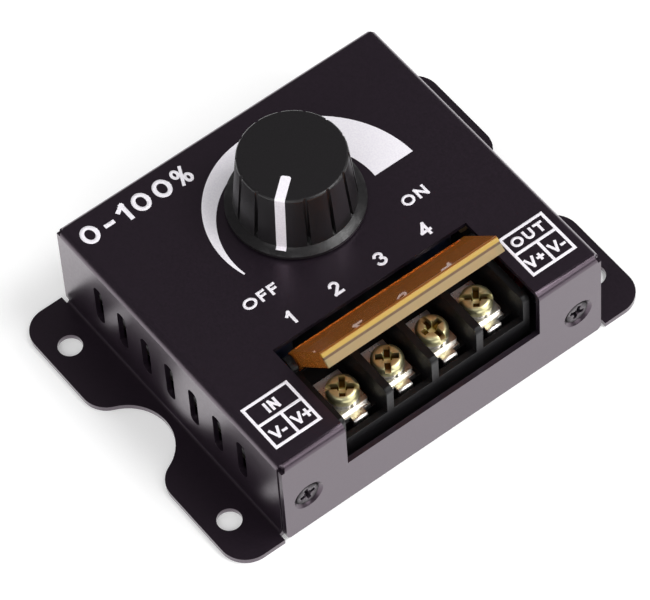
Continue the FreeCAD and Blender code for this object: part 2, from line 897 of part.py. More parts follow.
def make_terminal_cover():
    """Clear flip cover: a plate with a front lip, end walls, and lugs with hinge pins."""
    body = new_body("terminal_cover")
    shell = new_sketch(body, "YZ_Plane")
    outline(shell, flip_profile())
    pad(body, shell, d.flip_half * 2, symmetric=True)

    lip_low = d.flip_top - d.flip_lip
    lug = 1.8
    wall = 1.0
    for side in (-1, 1):
        end = new_sketch(body, "YZ_Plane", (d.flip_half - wall / 2) * side)
        outline(end, [
            (-d.flip_reach + 0.5, lip_low),
            (-lug - 0.4, lip_low),
            (0, -lug, lug),
            (lug, 0, lug),
            (0, lug),
            (-d.flip_back, d.flip_top - 0.1),
            (-d.flip_reach + 0.5, d.flip_top - 0.1),
        ])
        pad(body, end, wall, symmetric=True)
        pin = new_sketch(body, "YZ_Plane", d.flip_half * side)
        circle(pin, 0, 0, d.hinge_pin)
        pad(body, pin, 1.5, backwards=side < 0)
    axis = Vector(-1, 0, 0)
    place(body, (0, d.hinge_y, d.hinge_z), Rotation(axis, d.flip_open.number))
    body.setExpression("Placement.Rotation.Angle", d.flip_open.formula)


def place_on_knob_axis(body, angle=0):
    place(body, (d.knob_x, d.knob_y, 0), Rotation(Vector(0, 0, 1), length(angle).number))


def knob_surface():
    """Outside of the knob from the middle of its top to its foot."""
    return [
        (0, d.knob_top),
        (d.knob_top_radius - knob_rim, d.knob_top, -knob_rim),
        (d.knob_top_radius, d.knob_top - knob_rim),
        (d.knob_base_radius, d.skirt_top),
        (d.skirt_radius, d.skirt_edge),
    ]


def make_knob():
    """Fluted knob with a skirt, a bore for the shaft and room for the nut."""
    body = new_body("knob")
    profile = new_sketch(body, "XZ_Plane")
    nut_room, nut_room_top = 7.5, d.box_height + 4.7
    bore_top = d.knob_top - 2.0
    outline(profile, knob_surface() + [
        (d.skirt_radius, d.knob_foot),
        (nut_room, d.knob_foot),
        (nut_room, nut_room_top),
        (d.shaft_radius + 0.02, nut_room_top),
        (d.shaft_radius + 0.02, bore_top),
        (0, bore_top),
    ])
    revolve(body, profile)

    over = 0.1
    flute = new_sketch(body, "XY_Plane", d.knob_top + over)
    slot(flute, (d.knob_top_radius, 0), (d.knob_base_radius + 1, 0), d.flute_width / 2)
    flute_foot = d.skirt_top + 0.05
    first = pocket(body, flute, d.knob_top + over - flute_foot)
    repeat_round(body, first, flute, d.flute_count)

    skirt_slope = new_sketch(body, "XZ_Plane")
    outer, inner, low = d.knob_base_radius - 0.1, d.knob_base_radius - 1.7, d.skirt_top - 0.3
    outline(skirt_slope, [
        (inner, low),
        (outer, low),
        (outer, d.skirt_top),
        (inner, d.skirt_top + (outer - inner) * skirt_fall),
    ])
    revolve(body, skirt_slope)

    groove = new_sketch(body, "XZ_Plane")
    outline(groove, pointer_profile())
    pocket(body, groove, d.pointer_width, symmetric=True)
    round_edges(body, d.pointer_corner, is_pointer_corner)
    place_on_knob_axis(body, d.pointer_angle)


def pointer_profile():
    """Section of the white line: over the top, down the side and out on the skirt."""
    depth = d.pointer_depth
    skirt_floor = d.skirt_top - 0.5 - depth
    return [
        (d.pointer_start, d.knob_top),
        (d.pointer_start, d.knob_top - depth),
        (d.knob_top_radius - 1.3, d.knob_top - depth),
        (d.knob_base_radius - 1.1, skirt_floor),
        (d.pointer_end, skirt_floor),
        (d.pointer_end, d.skirt_top - (d.pointer_end - d.knob_base_radius) * skirt_fall),
        (d.knob_base_radius, d.skirt_top),
        (d.knob_top_radius, d.knob_top - knob_rim, knob_rim),
        (d.knob_top_radius - knob_rim, d.knob_top),
    ]


def is_pointer_corner(middle, edge):
    """True for the upright edges at the inner end of the white line."""
    at_end = abs(middle.x - d.pointer_start.number) < 0.01
    return at_end and abs(edge.Length - d.pointer_depth.number) < 0.01


def make_knob_pointer():
    body = new_body("knob_pointer")
    line = new_sketch(body, "XZ_Plane")
    outline(line, pointer_profile())
    pad(body, line, d.pointer_width, symmetric=True)
    round_edges(body, d.pointer_corner, is_pointer_corner)
    place_on_knob_axis(body, d.pointer_angle)


def cylinder_body(label, radius, low, high, bore=None):
    """Disc, tube or rod on the knob axis."""
    body = new_body(label)
    ring = new_sketch(body, "XY_Plane", low)
    circle(ring, 0, 0, radius)
    if bore is not None:
        circle(ring, 0, 0, bore)
    pad(body, ring, length(high) - low)
    place_on_knob_axis(body)
    return body


def make_potentiometer():
    """Panel potentiometer: can, wafer with lugs, bushing, washer, nut and turning parts."""
    sheet, can_bend, can_hole = 0.6, 0.8, 4.6
    can_top = can_floor + d.can_height
    can_inside = d.can_radius - sheet
    can = new_body("potentiometer_can")
    cup = new_sketch(can, "XZ_Plane")
    outline(cup, [
        (d.can_radius, can_floor),
        (d.can_radius, can_top - can_bend, can_bend),
        (d.can_radius - can_bend, can_top),
        (can_hole, can_top),
        (can_hole, can_top - sheet),
        (can_inside, can_top - sheet),
        (can_inside, can_floor),
    ])
    revolve(can, cup)
    place_on_knob_axis(can)

    collar_radius, collar_low, collar_high = 5.6, can_top - 1.4, can_top - sheet - RUNNING_FIT
    neck_radius, chamfer = can_hole - 0.1, 0.3
    bore = d.shaft_radius + RUNNING_FIT
    bush_top = d.box_height + 3.9
    bushing = new_body("potentiometer_bushing")
    sleeve = new_sketch(bushing, "XZ_Plane")
    outline(sleeve, [
        (bore, collar_low),
        (collar_radius, collar_low),
        (collar_radius, collar_high),
        (neck_radius, collar_high),
        (neck_radius, can_top),
        (d.bush_radius, can_top),
        (d.bush_radius, bush_top - chamfer),
        (d.bush_radius - chamfer, bush_top),
        (bore, bush_top),
    ])
    revolve(bushing, sleeve)
    place_on_knob_axis(bushing)

    wafer_radius = can_inside - RUNNING_FIT
    tongue_half, tongue_end, tongue_root, tongue_gauge = 6.5, -11.5, -3.0, 0.55
    wafer = new_body("potentiometer_wafer")
    disc = new_sketch(wafer, "XY_Plane", can_floor + RUNNING_FIT)
    circle(disc, 0, 0, wafer_radius)
    pad(wafer, disc, 0.9)
    tongue = new_sketch(wafer, "XY_Plane", can_floor - tongue_gauge)
    rectangle(tongue, -tongue_half, tongue_end, tongue_half, tongue_root)
    pad(wafer, tongue, tongue_gauge)
    joint = new_sketch(wafer, "XY_Plane", can_floor - tongue_gauge)
    circle(joint, 0, 0, wafer_radius)
    pad(wafer, joint, tongue_gauge + 0.15)
    place_on_knob_axis(wafer)

    lug_step, lug_half, lug_back = 5.0, 0.6, tongue_end - RUNNING_FIT
    lugs = new_body("potentiometer_terminals", group=True)
    legs = new_sketch(lugs, "XY_Plane", board_top)
    for x in (-lug_step, 0, lug_step):
        rectangle(legs, x - lug_half, lug_back - 0.55, x + lug_half, lug_back)
    pad(lugs, legs, can_floor - board_top)
    place_on_knob_axis(lugs)

    washer_radius, washer_gauge, across_flats, nut_height = 5.3, 0.5, 10.0, 2.0
    nut_foot = d.box_height + washer_gauge
    cylinder_body("potentiometer_washer", washer_radius, d.box_height, nut_foot,
                  d.bush_radius + 0.1)
    nut = new_body("potentiometer_nut")
    flats = new_sketch(nut, "XY_Plane", nut_foot)
    hexagon(flats, 0, 0, across_flats)
    circle(flats, 0, 0, d.bush_radius + 0.02)
    pad(nut, flats, nut_height)
    place_on_knob_axis(nut)

    make_shaft()


def make_shaft():
    """Turning parts of the potentiometer: shaft, wiper carrier and wiper."""
    wiper_low = can_floor + 2.0
    shaft_top = d.knob_top - 2.4
    flat_depth, flat_length = 0.8, 6.0
    flat_x = d.shaft_radius - flat_depth
    shaft = cylinder_body("pot_shaft", d.shaft_radius, wiper_low, shaft_top)
    flat = new_sketch(shaft, "XY_Plane", shaft_top)
    over = d.shaft_radius + 1
    rectangle(flat, flat_x, -over, over, over)
    pocket(shaft, flat, flat_length)
    place_on_knob_axis(shaft, d.pointer_angle)

    leaf_half, leaf_length = 1.2, flat_length - 0.8
    clip = new_body("knob_spring_clip")
    leaf = new_sketch(clip, "XY_Plane", shaft_top - flat_length + 0.3)
    rectangle(leaf, flat_x + RUNNING_FIT, -leaf_half, d.shaft_radius - 0.3, leaf_half)
    pad(clip, leaf, leaf_length)
    place_on_knob_axis(clip, d.pointer_angle)

    carrier_top = wiper_low + 1.6
    stop_half, stop_near, stop_far, stop_height = 0.9, 3.6, 6.0, 0.8
    carrier = cylinder_body("wiper_carrier", d.can_radius - 1.3, wiper_low, carrier_top,
                            d.shaft_radius + 0.02)
    stop = new_sketch(carrier, "XY_Plane", carrier_top)
    rectangle(stop, -stop_half, stop_near, stop_half, stop_far)
    pad(carrier, stop, stop_height)

    arm_half, arm_length, bridge = 0.35, 3.4, 1.2
    inner_arm, outer_arm, wiper_gauge = 4.0, 5.6, 0.3
    wiper = new_body("wiper_contact")
    arms = new_sketch(wiper, "XY_Plane", wiper_low - wiper_gauge)
    for radius in (inner_arm, outer_arm):
        rectangle(arms, radius - arm_half, -arm_length, radius + arm_half, 0)
    rectangle(arms, inner_arm - arm_half, 0, outer_arm + arm_half, bridge)
    pad(wiper, arms, wiper_gauge)
    place_on_knob_axis(wiper, d.pointer_angle)


def make_mosfets():
    """Power transistors lying on a heat spreader, with tabs, leads and screws."""
    spreader_half, spreader_front, spreader_back = 24.5, 12.0, 27.5
    screw_y, spreader_hole, tab_hole = 24.9, 1.35, 1.8
    spreader = new_body("heat_spreader")
    plate = new_sketch(spreader, "XY_Plane", board_top)
    rectangle(plate, -spreader_half, spreader_front, spreader_half, spreader_back)
    pad(spreader, plate, heat_top - board_top)
    holes = new_sketch(spreader, "XY_Plane", board_top)
    for x in MOSFET_X:
        circle(holes, x, screw_y, spreader_hole)
    pocket(spreader, holes, backwards=True)

    tab_gauge, case_height, lead_gauge = 1.3, 3.1, 0.5
    case_half, case_front, case_back, tab_back = 5.0, 12.6, 21.6, 27.6
    lead_half, lead_step = 0.4, 2.54
    lead_front, lead_back = 9.6, case_front - RUNNING_FIT
    lead_low = heat_top + 2.0
    tabs = new_body("mosfet_tabs", group=True)
    tab = new_sketch(tabs, "XY_Plane", heat_top)
    cases = new_body("mosfet_bodies", group=True)
    case = new_sketch(cases, "XY_Plane", heat_top + tab_gauge)
    leads = new_body("mosfet_leads", group=True)
    legs = new_sketch(leads, "XY_Plane", lead_low)
    feet = new_sketch(leads, "XY_Plane", board_top)
    for x in MOSFET_X:
        rectangle(tab, x - case_half, case_front, x + case_half, tab_back)
        circle(tab, x, screw_y, tab_hole)
        rectangle(case, x - case_half, case_front, x + case_half, case_back)
        for middle in (x - lead_step, x, x + lead_step):
            left, right = middle - lead_half, middle + lead_half
            rectangle(legs, left, lead_front, right, lead_back)
            rectangle(feet, left, lead_front, right, lead_front + lead_gauge)
    pad(tabs, tab, tab_gauge)
    pad(cases, case, case_height)
    pad(leads, legs, lead_gauge)
    pad(leads, feet, lead_low - board_top)

    head_radius, head_height, core, shank = 2.6, 1.6, 1.25, 2.7
    unit = pan_screw("mosfet_screw", head_radius, head_height, core, shank)
    cut_slot(unit, head_radius + 0.4, 0.8, head_height, head_height / 2)
    seat = heat_top + tab_gauge + RUNNING_FIT
    group_of("mosfet_screws", unit, [((x, screw_y, seat), Rotation()) for x in MOSFET_X])


def can_profile(radius, low, high):
    """Section of an electrolytic capacitor: a rolled groove near its foot, a round shoulder."""
    return [
        (0, low),
        (radius, low),
        (radius, low + 1.6),
        (radius - 0.4, low + 2.1),
        (radius, low + 2.6),
        (radius, high - 0.5, 0.5),
        (radius - 0.5, high),
        (0, high),
    ]


def make_filter_capacitors():
    radius, height, row_y = 4.0, 11.5, -5.4
    unit = new_body("capacitor")
    sketch = new_sketch(unit, "XZ_Plane")
    outline(sketch, can_profile(radius, 0, height))
    revolve(unit, sketch)
    places = [((x, row_y, board_top), Rotation()) for x in (-26.0, -17.0, 17.0)]
    group_of("filter_capacitors", unit, places)


def make_timer_chip():
    middle_x, middle_y, half_x, half_y = 16.0, 4.0, 4.8, 3.1
    lift, height = 0.6, 3.3
    body = new_body("timer_chip")
    case = new_sketch(body, "XY_Plane", board_top + lift)
    rectangle(case, middle_x - half_x, middle_y - half_y, middle_x + half_x, middle_y + half_y)
    pad(body, case, height)

    pin_step, pin_half, pin_gauge = 2.54, 0.6, 0.3
    shoulder, foot, shoulder_low = 1.15, 0.45, 1.9
    legs = new_body("timer_chip_legs", group=True)
    shoulders = new_sketch(legs, "XY_Plane", board_top + shoulder_low)
    feet = new_sketch(legs, "XY_Plane", board_top)
    front, back = middle_y - half_y - RUNNING_FIT, middle_y + half_y + RUNNING_FIT
    for pin in range(4):
        x = middle_x + pin_step * (pin - 1.5)
        rectangle(shoulders, x - pin_half, front - shoulder, x + pin_half, front)
        rectangle(feet, x - pin_half, front - shoulder, x + pin_half, front - shoulder + foot)
        rectangle(shoulders, x - pin_half, back, x + pin_half, back + shoulder)
        rectangle(feet, x - pin_half, back + shoulder - foot, x + pin_half, back + shoulder)
    pad(legs, shoulders, pin_gauge)
    pad(legs, feet, shoulder_low)


def make_small_parts():
    """Regulator, diode, resistors and film capacitors on the board."""
    regulator = new_body("voltage_regulator")
    case = new_sketch(regulator, "XY_Plane", board_top)
    left, flat_face, front, back, bulge = 24.0, 27.6, 3.0, 6.6, 2.6
    outline(case, [(left, front), (flat_face, front), (flat_face, back, bulge), (left, back)])
    pad(regulator, case, 4.6)

    lying = {
        "flyback_diode": (2.6, 9.0, ((-21.0, 4.0),)),
        "resistors": (1.2, 6.2, ((-14.5, 3.5), (-11.0, 3.5), (-27.5, 4.5), (25.5, -1.5))),
    }
    for label, (radius, span, spots) in lying.items():
        body = new_body(label, group=True)
        for x, y in spots:
            ends = new_sketch(body, "XZ_Plane", -(y - span / 2))
            circle(ends, x, board_top + radius + RUNNING_FIT, radius)
            pad(body, ends, span, backwards=True)

    film_width, film_front, film_back, film_height = 3.5, -20.0, -12.8, 6.0
    films = new_body("film_capacitors", group=True)
    boxes = new_sketch(films, "XY_Plane", board_top)
    for x in (24.0, -24.5):
        rectangle(boxes, x, film_front, x + film_width, film_back)
    pad(films, boxes, film_height)


make_top_cover()
make_base_plate()
make_cover_screws()
make_board()
make_board_standoffs()
make_board_screws()
make_insulation_sheet()
make_terminal_block()
make_terminal_contacts()
for clamp_number, clamp_step in enumerate(TERMINAL_STEPS, start=1):
    make_clamp(clamp_number, clamp_step)
make_terminal_cover()
make_potentiometer()
make_knob()
make_knob_pointer()
make_mosfets()
make_filter_capacitors()
make_timer_chip()
make_small_parts()
doc.recompute()

for item in doc.Objects:
    if "Invalid" in item.State or "Error" in item.State:
        raise RuntimeError(f"{item.Name} failed: {item.State}")
for label, item in nodes.items():
    if item.Shape.isNull() or not item.Shape.isValid():
        raise RuntimeError(f"{label} has no valid shape")

os.makedirs("parts", exist_ok=True)
for label, item in nodes.items():
    item.Shape.exportStep(f"parts/{label}.step")
    size = item.Shape.BoundBox
    print(f"{label:26s} solids {len(item.Shape.Solids):2d} volume {item.Shape.Volume:9.2f}"
          f"  x {size.XMin:7.2f} {size.XMax:7.2f}  y {size.YMin:7.2f} {size.YMax:7.2f}"
          f"  z {size.ZMin:6.2f} {size.ZMax:6.2f}")
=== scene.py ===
"""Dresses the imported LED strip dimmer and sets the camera, lamps and floor round it."""
import logging
import math
from dataclasses import dataclass, field
from enum import Enum

import bmesh
import bpy
from mathutils import Matrix, Vector


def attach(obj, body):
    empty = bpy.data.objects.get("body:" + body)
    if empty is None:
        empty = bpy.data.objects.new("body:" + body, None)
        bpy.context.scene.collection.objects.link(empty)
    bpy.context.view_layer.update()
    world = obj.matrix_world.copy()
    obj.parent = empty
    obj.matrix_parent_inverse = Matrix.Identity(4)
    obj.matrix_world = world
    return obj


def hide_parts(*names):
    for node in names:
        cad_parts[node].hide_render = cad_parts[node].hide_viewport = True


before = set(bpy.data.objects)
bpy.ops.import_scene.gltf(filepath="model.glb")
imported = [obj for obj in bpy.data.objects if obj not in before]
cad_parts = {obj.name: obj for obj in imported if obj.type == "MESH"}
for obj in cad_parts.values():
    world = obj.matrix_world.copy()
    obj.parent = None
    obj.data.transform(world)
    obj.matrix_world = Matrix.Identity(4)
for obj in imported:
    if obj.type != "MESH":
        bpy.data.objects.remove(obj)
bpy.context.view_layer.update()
log = logging.getLogger("dimmer")
MM = 0.001

Tree, Node = bpy.types.NodeTree, bpy.types.Node
Piece, Shape = bpy.types.Object, bmesh.types.BMesh
Point = tuple[float, float]
Place = tuple[float, float, float]
Line = list[Point]
CORNERS = ((-1, -1), (1, -1), (1, 1), (-1, 1))


class Body(str, Enum):
    """Bodies of the frame that carry new pieces."""

    HOUSING = "housing"
    KNOB = "control_knob"
    FLIP = "flip_cover"


def add(tree: Tree, kind: str, values: dict | None = None, links: dict | None = None,
        **settings: object) -> Node:
    """Add one node with its settings, socket values and incoming links.

    Args:
        tree: Shader or geometry tree that gets the node.
        kind: Node type.
        values: Socket name or number to its value.
        links: Socket name or number to the node or socket that feeds it, or a list of them.
        **settings: Attributes of the node itself.

    Returns:
        The new node.
    """
    node = tree.nodes.new(kind)
    for name, value in settings.items():
        setattr(node, name, value)
    for socket, value in (values or {}).items():
        node.inputs[socket].default_value = value
    for socket, sources in (links or {}).items():
        for source in sources if isinstance(sources, list) else [sources]:
            output = source.outputs[0] if isinstance(source, Node) else source
            tree.links.new(output, node.inputs[socket])
    return node


def linear(code: str) -> tuple[float, float, float, float]:
    """Turn an sRGB hex code into a linear RGBA colour.

    Args:
        code: Colour as "#RRGGBB".

    Returns:
        Linear red, green, blue and an alpha of one.
    """
    parts = [int(code[i:i + 2], 16) / 255 for i in (1, 3, 5)]
    knee, power = 0.04045, 2.4
    steps = [c / 12.92 if c <= knee else ((c + 0.055) / 1.055) ** power for c in parts]
    return (*steps, 1.0)


@dataclass(frozen=True)
class Finish:
    """A solid finish with a fine colour variation and relief.

    Attributes:
        name: What the finish is.
        base: Main sRGB colour.
        fleck: sRGB colour of the fine variation.
        grain: Size of the variation in millimetres.
        relief: Height of the relief in millimetres.
        roughness: Lowest and highest roughness over the surface.
        ior: Index of refraction, not used on metal.
        metallic: One for metal.
        stretch: How far the grain is drawn out along X, Y and Z.
        sheen: sRGB colour that a surface which isn't metal mirrors in.
        recess: sRGB colour painted deep in a recess as shade, with its gloss taken away there;
        none if empty.
        skin: Weight of a clear or fused skin over it.
        skin_roughness: Roughness of the skin.
    """

    name: str
    base: str
    fleck: str
    grain: float = 0.5
    relief: float = 0.01
    roughness: tuple[float, float] = (0.35, 0.45)
    ior: float = 1.5
    metallic: float = 0.0
    stretch: Place = (1.0, 1.0, 1.0)
    sheen: str = "#FFFFFF"
    recess: str = ""
    skin: float = 0.0
    skin_roughness: float = 0.03

    def material(self) -> bpy.types.Material:
        """Give the finish's node material, which is built on its first use.

        Returns:
            The material.
        """
        found = bpy.data.materials.get(self.name)
        if found:
            return found
        material = bpy.data.materials.new(self.name)
        material.use_nodes = True
        tree = material.node_tree
        tree.nodes.clear()
        values = {"Metallic": self.metallic, "Coat Weight": self.skin,
                  "Coat Roughness": self.skin_roughness}
        if not self.metallic:
            values |= {"IOR": self.ior, "Specular Tint": linear(self.sheen)}
        output = add(tree, "ShaderNodeOutputMaterial")
        shader = add(tree, "ShaderNodeBsdfPrincipled", values, self.dress(tree))
        tree.links.new(shader.outputs[0], output.inputs["Surface"])
        material.diffuse_color = linear(self.base)
        return material

    def dress(self, tree: Tree) -> dict:
        """Build the colour, roughness and relief of the grain.

        Args:
            tree: Tree of the material.

        Returns:
            Input of the shader to what feeds it.
        """
        low, high = 0.32, 0.68
        place = add(tree, "ShaderNodeTexCoord").outputs["Object"]
        drawn = add(tree, "ShaderNodeMapping", {"Scale": [1 / s for s in self.stretch]}, {
            "Vector": place})
        grain = add(tree, "ShaderNodeTexNoise", {"Scale": 1 / (self.grain * MM), "Detail": 3.0},
                    {"Vector": drawn})
        spread = add(tree, "ShaderNodeMapRange", {"From Min": low, "From Max": high},
                     {"Value": grain})
        paint = add(tree, "ShaderNodeMix", {6: linear(self.base), 7: linear(self.fleck)},
                    {"Factor": spread}, data_type="RGBA")
        gloss = add(tree, "ShaderNodeMapRange", {
            "To Min": self.roughness[0], "To Max": self.roughness[1]}, {"Value": spread})
        bump = add(tree, "ShaderNodeBump", {"Strength": 0.6, "Distance": self.relief * MM},
                   {"Height": grain})
        sources = {"Base Color": paint.outputs[2], "Roughness": gloss, "Normal": bump}
        # Painted shade: the colour darkens and the gloss fades with the depth noted in a recess.
        if self.recess:
            deep = add(tree, "ShaderNodeAttribute", attribute_name="recess").outputs["Fac"]
            painted_shade_colour = add(tree, "ShaderNodeMix", {7: linear(self.recess)},
                       {"Factor": deep, 6: paint.outputs[2]}, data_type="RGBA")
            painted_shade_gloss = add(tree, "ShaderNodeMapRange", {"To Min": 0.5, "To Max": 0.0}, {"Value": deep})
            sources |= {"Base Color": painted_shade_colour.outputs[2], "Specular IOR Level": painted_shade_gloss}
        return sources


@dataclass(frozen=True)
class ClearPlastic(Finish):
    """A moulded plastic that is clear, and takes its colour from its thickness.

    Attributes:
        clear: Share of the light that enters the plastic.
        dye: sRGB colour of the dye.
        strength: Strength of the dye per millimetre.
        across: Direction from the hinge to the front.
        front: Distance along it at which the frosted front starts, in millimetres.
        through: Direction out of the plate.
        zones: Distance along it in millimetres, sRGB colour and clear share on the front: the
        lip, a dark line of painted shade, and a painted highlight along the edge of the plate.
        frost: Roughness of the front.
    """

    clear: float = 0.72
    dye: str = "#E8A048"
    strength: float = 0.6
    across: Place = (0.0, -0.669, 0.743)
    front: float = 38.3
    through: Place = (0.0, 0.743, 0.669)
    # The dark line is painted shade, and the golden band is a painted highlight along the plate's edge.
    zones: tuple[tuple[float, str, float], ...] = (
        (2.6, "#CDB478", 0.72), (2.75, "#5A2E10", 0.8), (3.05, "#5A2E10", 0.8),
        (3.2, "#D8AC30", 0.45), (3.8, "#D8AC30", 0.45), (4.0, "#D88838", 0.72))
    frost: float = 0.28

    def dress(self, tree: Tree) -> dict:
        """Let light pass through the plain finish, dye it, and frost the front by zones.

        Args:
            tree: Tree of the material.

        Returns:
            Input of the shader to what feeds it.
        """
        sources = super().dress(tree)
        place = add(tree, "ShaderNodeTexCoord").outputs["Object"]
        along, rise = (add(tree, "ShaderNodeVectorMath", {1: Vector(way) / MM}, {0: place},
                           operation="DOT_PRODUCT").outputs["Value"]
                       for way in (self.across, self.through))
        ahead = add(tree, "ShaderNodeMath", {1: self.front}, {0: along}, operation="GREATER_THAN")
        first, last = self.zones[0][0], self.zones[-1][0]
        share = add(tree, "ShaderNodeMapRange", {"From Min": first, "From Max": last}, {
            "Value": rise})
        # The ramp paints the zones' shade and highlight into the front's colour and clear share.
        zone = add(tree, "ShaderNodeValToRGB", links={"Fac": share})
        stops = zone.color_ramp.elements
        stops.remove(stops[1])
        for i, (at, colour, clear) in enumerate(self.zones):
            stop = stops.new((at - first) / (last - first)) if i else stops[0]
            stop.color = (*linear(colour)[:3], clear)
        paint = add(tree, "ShaderNodeMix", links={
            "Factor": ahead, 6: sources["Base Color"], 7: zone.outputs["Color"]}, data_type="RGBA")
        gloss = add(tree, "ShaderNodeMix", {3: self.frost}, {
            "Factor": ahead, 2: sources["Roughness"]})
        enters = add(tree, "ShaderNodeMix", {2: self.clear}, {
            "Factor": ahead, 3: zone.outputs["Alpha"]})
        dye = add(tree, "ShaderNodeVolumeAbsorption", {
            "Color": linear(self.dye), "Density": self.strength / MM})
        tree.links.new(dye.outputs[0], tree.get_output_node("ALL").inputs["Volume"])
        return {**sources, "Base Color": paint.outputs[2], "Roughness": gloss,
                "Transmission Weight": enters}


# Polyester powder coat, sprayed and baked: satin black with a hint of violet and orange peel of
# about half a millimetre. It mirrors the floor softly on the walls.
POWDER_COAT = Finish(
    "satin_black_powder_coat", "#140F15", "#19121A", grain=0.45, relief=0.005,
    roughness=(0.28, 0.34), ior=1.7, sheen="#FFE6FA")
# Steel screws blackened in a hot oxide bath: nearly black, with a dull oiled sheen.
# Its cross and the ring round its head get painted shade: nearly black and without gloss.
BLACK_OXIDE = Finish(
    "black_oxide_steel", "#171519", "#201D22", grain=0.3, relief=0.004, roughness=(0.28, 0.4),
    ior=1.6, sheen="#FFE6FA", recess="#040304")
# Phenolic thermoset pressed in a hardened mould: deep black with a satin gloss.
THERMOSET = Finish(
    "moulded_black_phenolic", "#0A090A", "#0E0D0F", grain=0.6, relief=0.006,
    roughness=(0.36, 0.46), ior=1.36)
# Polycarbonate tinted amber, moulded and polished: clear, and a mirror at a low angle.
POLYCARBONATE = ClearPlastic(
    "amber_polycarbonate", "#D88838", "#D28032", grain=2.5, relief=0.001, roughness=(0.02, 0.05),
    ior=1.58, sheen="#FFF0D0")
# Copper alloy with bright nickel plating: nearly white metal, slightly wavy from stamping.
NICKEL = Finish(
    "bright_nickel_plate", "#F2EFEA", "#EAE6E0", grain=0.8, relief=0.0005, roughness=(0.26, 0.32),
    metallic=1.0)
# Zinc with a yellow chromate: olive gold that shifts a little over each head.
# Its slot and cross get painted shade: dark brown and without gloss.
YELLOW_ZINC = Finish(
    "yellow_chromate_zinc", "#ECE6BA", "#E2DCA8", grain=0.9, relief=0.0005, roughness=(0.34, 0.42),
    metallic=1.0, recess="#544018")
# Zinc plated steel, left bright.
ZINC = Finish(
    "bright_zinc_steel", "#BCC0C4", "#A9ADB2", grain=0.6, relief=0.006, roughness=(0.25, 0.4),
    metallic=1.0)
# Black ABS knob from a finely eroded mould: half matte, with a soft sheen.
KNOB_PLASTIC = Finish(
    "eroded_black_abs", "#131113", "#1C1A1C", grain=0.25, roughness=(0.32, 0.42), ior=1.53)
# White epoxy ink, screen printed: opaque, flat and slightly uneven at its edge.
SCREEN_INK = Finish(
    "white_screen_ink", "#F4F1F6", "#EAE6EE", grain=0.3, relief=0.004, roughness=(0.45, 0.6))
# White paint wiped into the line of the knob.
LINE_PAINT = Finish(
    "white_line_paint", "#F6F2F8", "#E9E4EC", grain=0.3, relief=0.006, roughness=(0.4, 0.55))
# Black solder resist over copper and glass cloth, with a faint unevenness.
SOLDER_MASK = Finish(
    "black_solder_resist", "#151618", "#1D1F21", grain=1.2, roughness=(0.35, 0.5), skin=0.5,
    skin_roughness=0.15)
# Pressed rag board: matt, with short fibres.
PRESSBOARD = Finish(
    "pressboard", "#D8D4C4", "#C6BFA8", relief=0.02, roughness=(0.75, 0.9),
    stretch=(4.0, 1.0, 1.0))
# Paper phenolic, punched: brown with darker flakes.
PHENOLIC_PAPER = Finish(
    "paper_phenolic", "#7A4A22", "#613816", grain=0.6, roughness=(0.4, 0.6))
# Drawn steel can with tin plating: fine lines run round it.
DRAWN_CAN = Finish(
    "drawn_tinned_can", "#B4B6B8", "#9FA2A5", grain=0.2, relief=0.004, roughness=(0.3, 0.45),
    metallic=1.0, stretch=(1.0, 1.0, 6.0))
# Turned brass with a thin nickel flash: warm grey, with turning marks.
TURNED_BRASS = Finish(
    "turned_brass", "#B8A36A", "#A68F57", grain=0.2, relief=0.006, roughness=(0.25, 0.4),
    metallic=1.0, stretch=(6.0, 6.0, 1.0))
# Turned aluminium shaft: cool grey, with turning marks.
TURNED_ALUMINIUM = Finish(
    "turned_aluminium", "#C0C2C4", "#AEB0B3", grain=0.2, relief=0.006, roughness=(0.3, 0.45),
    metallic=1.0, stretch=(6.0, 6.0, 1.0))
# Rolled aluminium sheet: long fine lines along the sheet.
ROLLED_ALUMINIUM = Finish(
    "rolled_aluminium", "#C2C4C8", "#B1B3B8", grain=0.3, relief=0.004, roughness=(0.3, 0.45),
    metallic=1.0, stretch=(12.0, 1.0, 1.0))
# Black epoxy moulding compound: matt, with silica grit.
EPOXY = Finish(
    "black_epoxy_compound", "#17171A", "#232326", grain=0.15, roughness=(0.55, 0.7))
# Leads dipped in tin: soft grey metal.
TINNED = Finish(
    "dipped_tin", "#C4C4C4", "#ADADB0", grain=0.4, roughness=(0.25, 0.45), metallic=1.0)
# Heat-shrunk vinyl sleeve: dark blue and smooth.
SLEEVE = Finish(
    "shrunk_vinyl_sleeve", "#1D2233", "#262C40", grain=0.8, relief=0.008, roughness=(0.3, 0.4),
    skin=0.5, skin_roughness=0.1)
# Resistor lacquer: beige, with a grainy dip.
RESISTOR_COAT = Finish(
    "beige_resistor_lacquer", "#B79B72", "#A88B62", grain=0.4, relief=0.02, roughness=(0.4, 0.6))
# Film capacitor dipped in red epoxy: glossy, with a soft sag.
FILM_DIP = Finish(
    "red_epoxy_dip", "#A8322A", "#932A24", grain=1.2, relief=0.02, roughness=(0.25, 0.4),
    skin=0.6, skin_roughness=0.1)


def dress_nodes(finish: Finish, *names: str) -> None:
    """Give CAD nodes a finish in place.

    Args:
        finish: Finish that the nodes get.
        *names: Nodes of the frame.
    """
    for name in names:
        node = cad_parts[name]
        if not node.material_slots:
            node.data.materials.append(None)
        for slot in node.material_slots:
            slot.material = finish.material()
        log.info("dressed %s in %s", name, finish.name)


def put(name: str, data: bpy.types.ID) -> Piece:
    """Make an object at the origin and link it into the scene.

    Args:
        name: Name of the object.
        data: Mesh, lamp or camera that it holds.

    Returns:
        The object.
    """
    item = bpy.data.objects.new(name, data)
    bpy.context.scene.collection.objects.link(item)
    return item


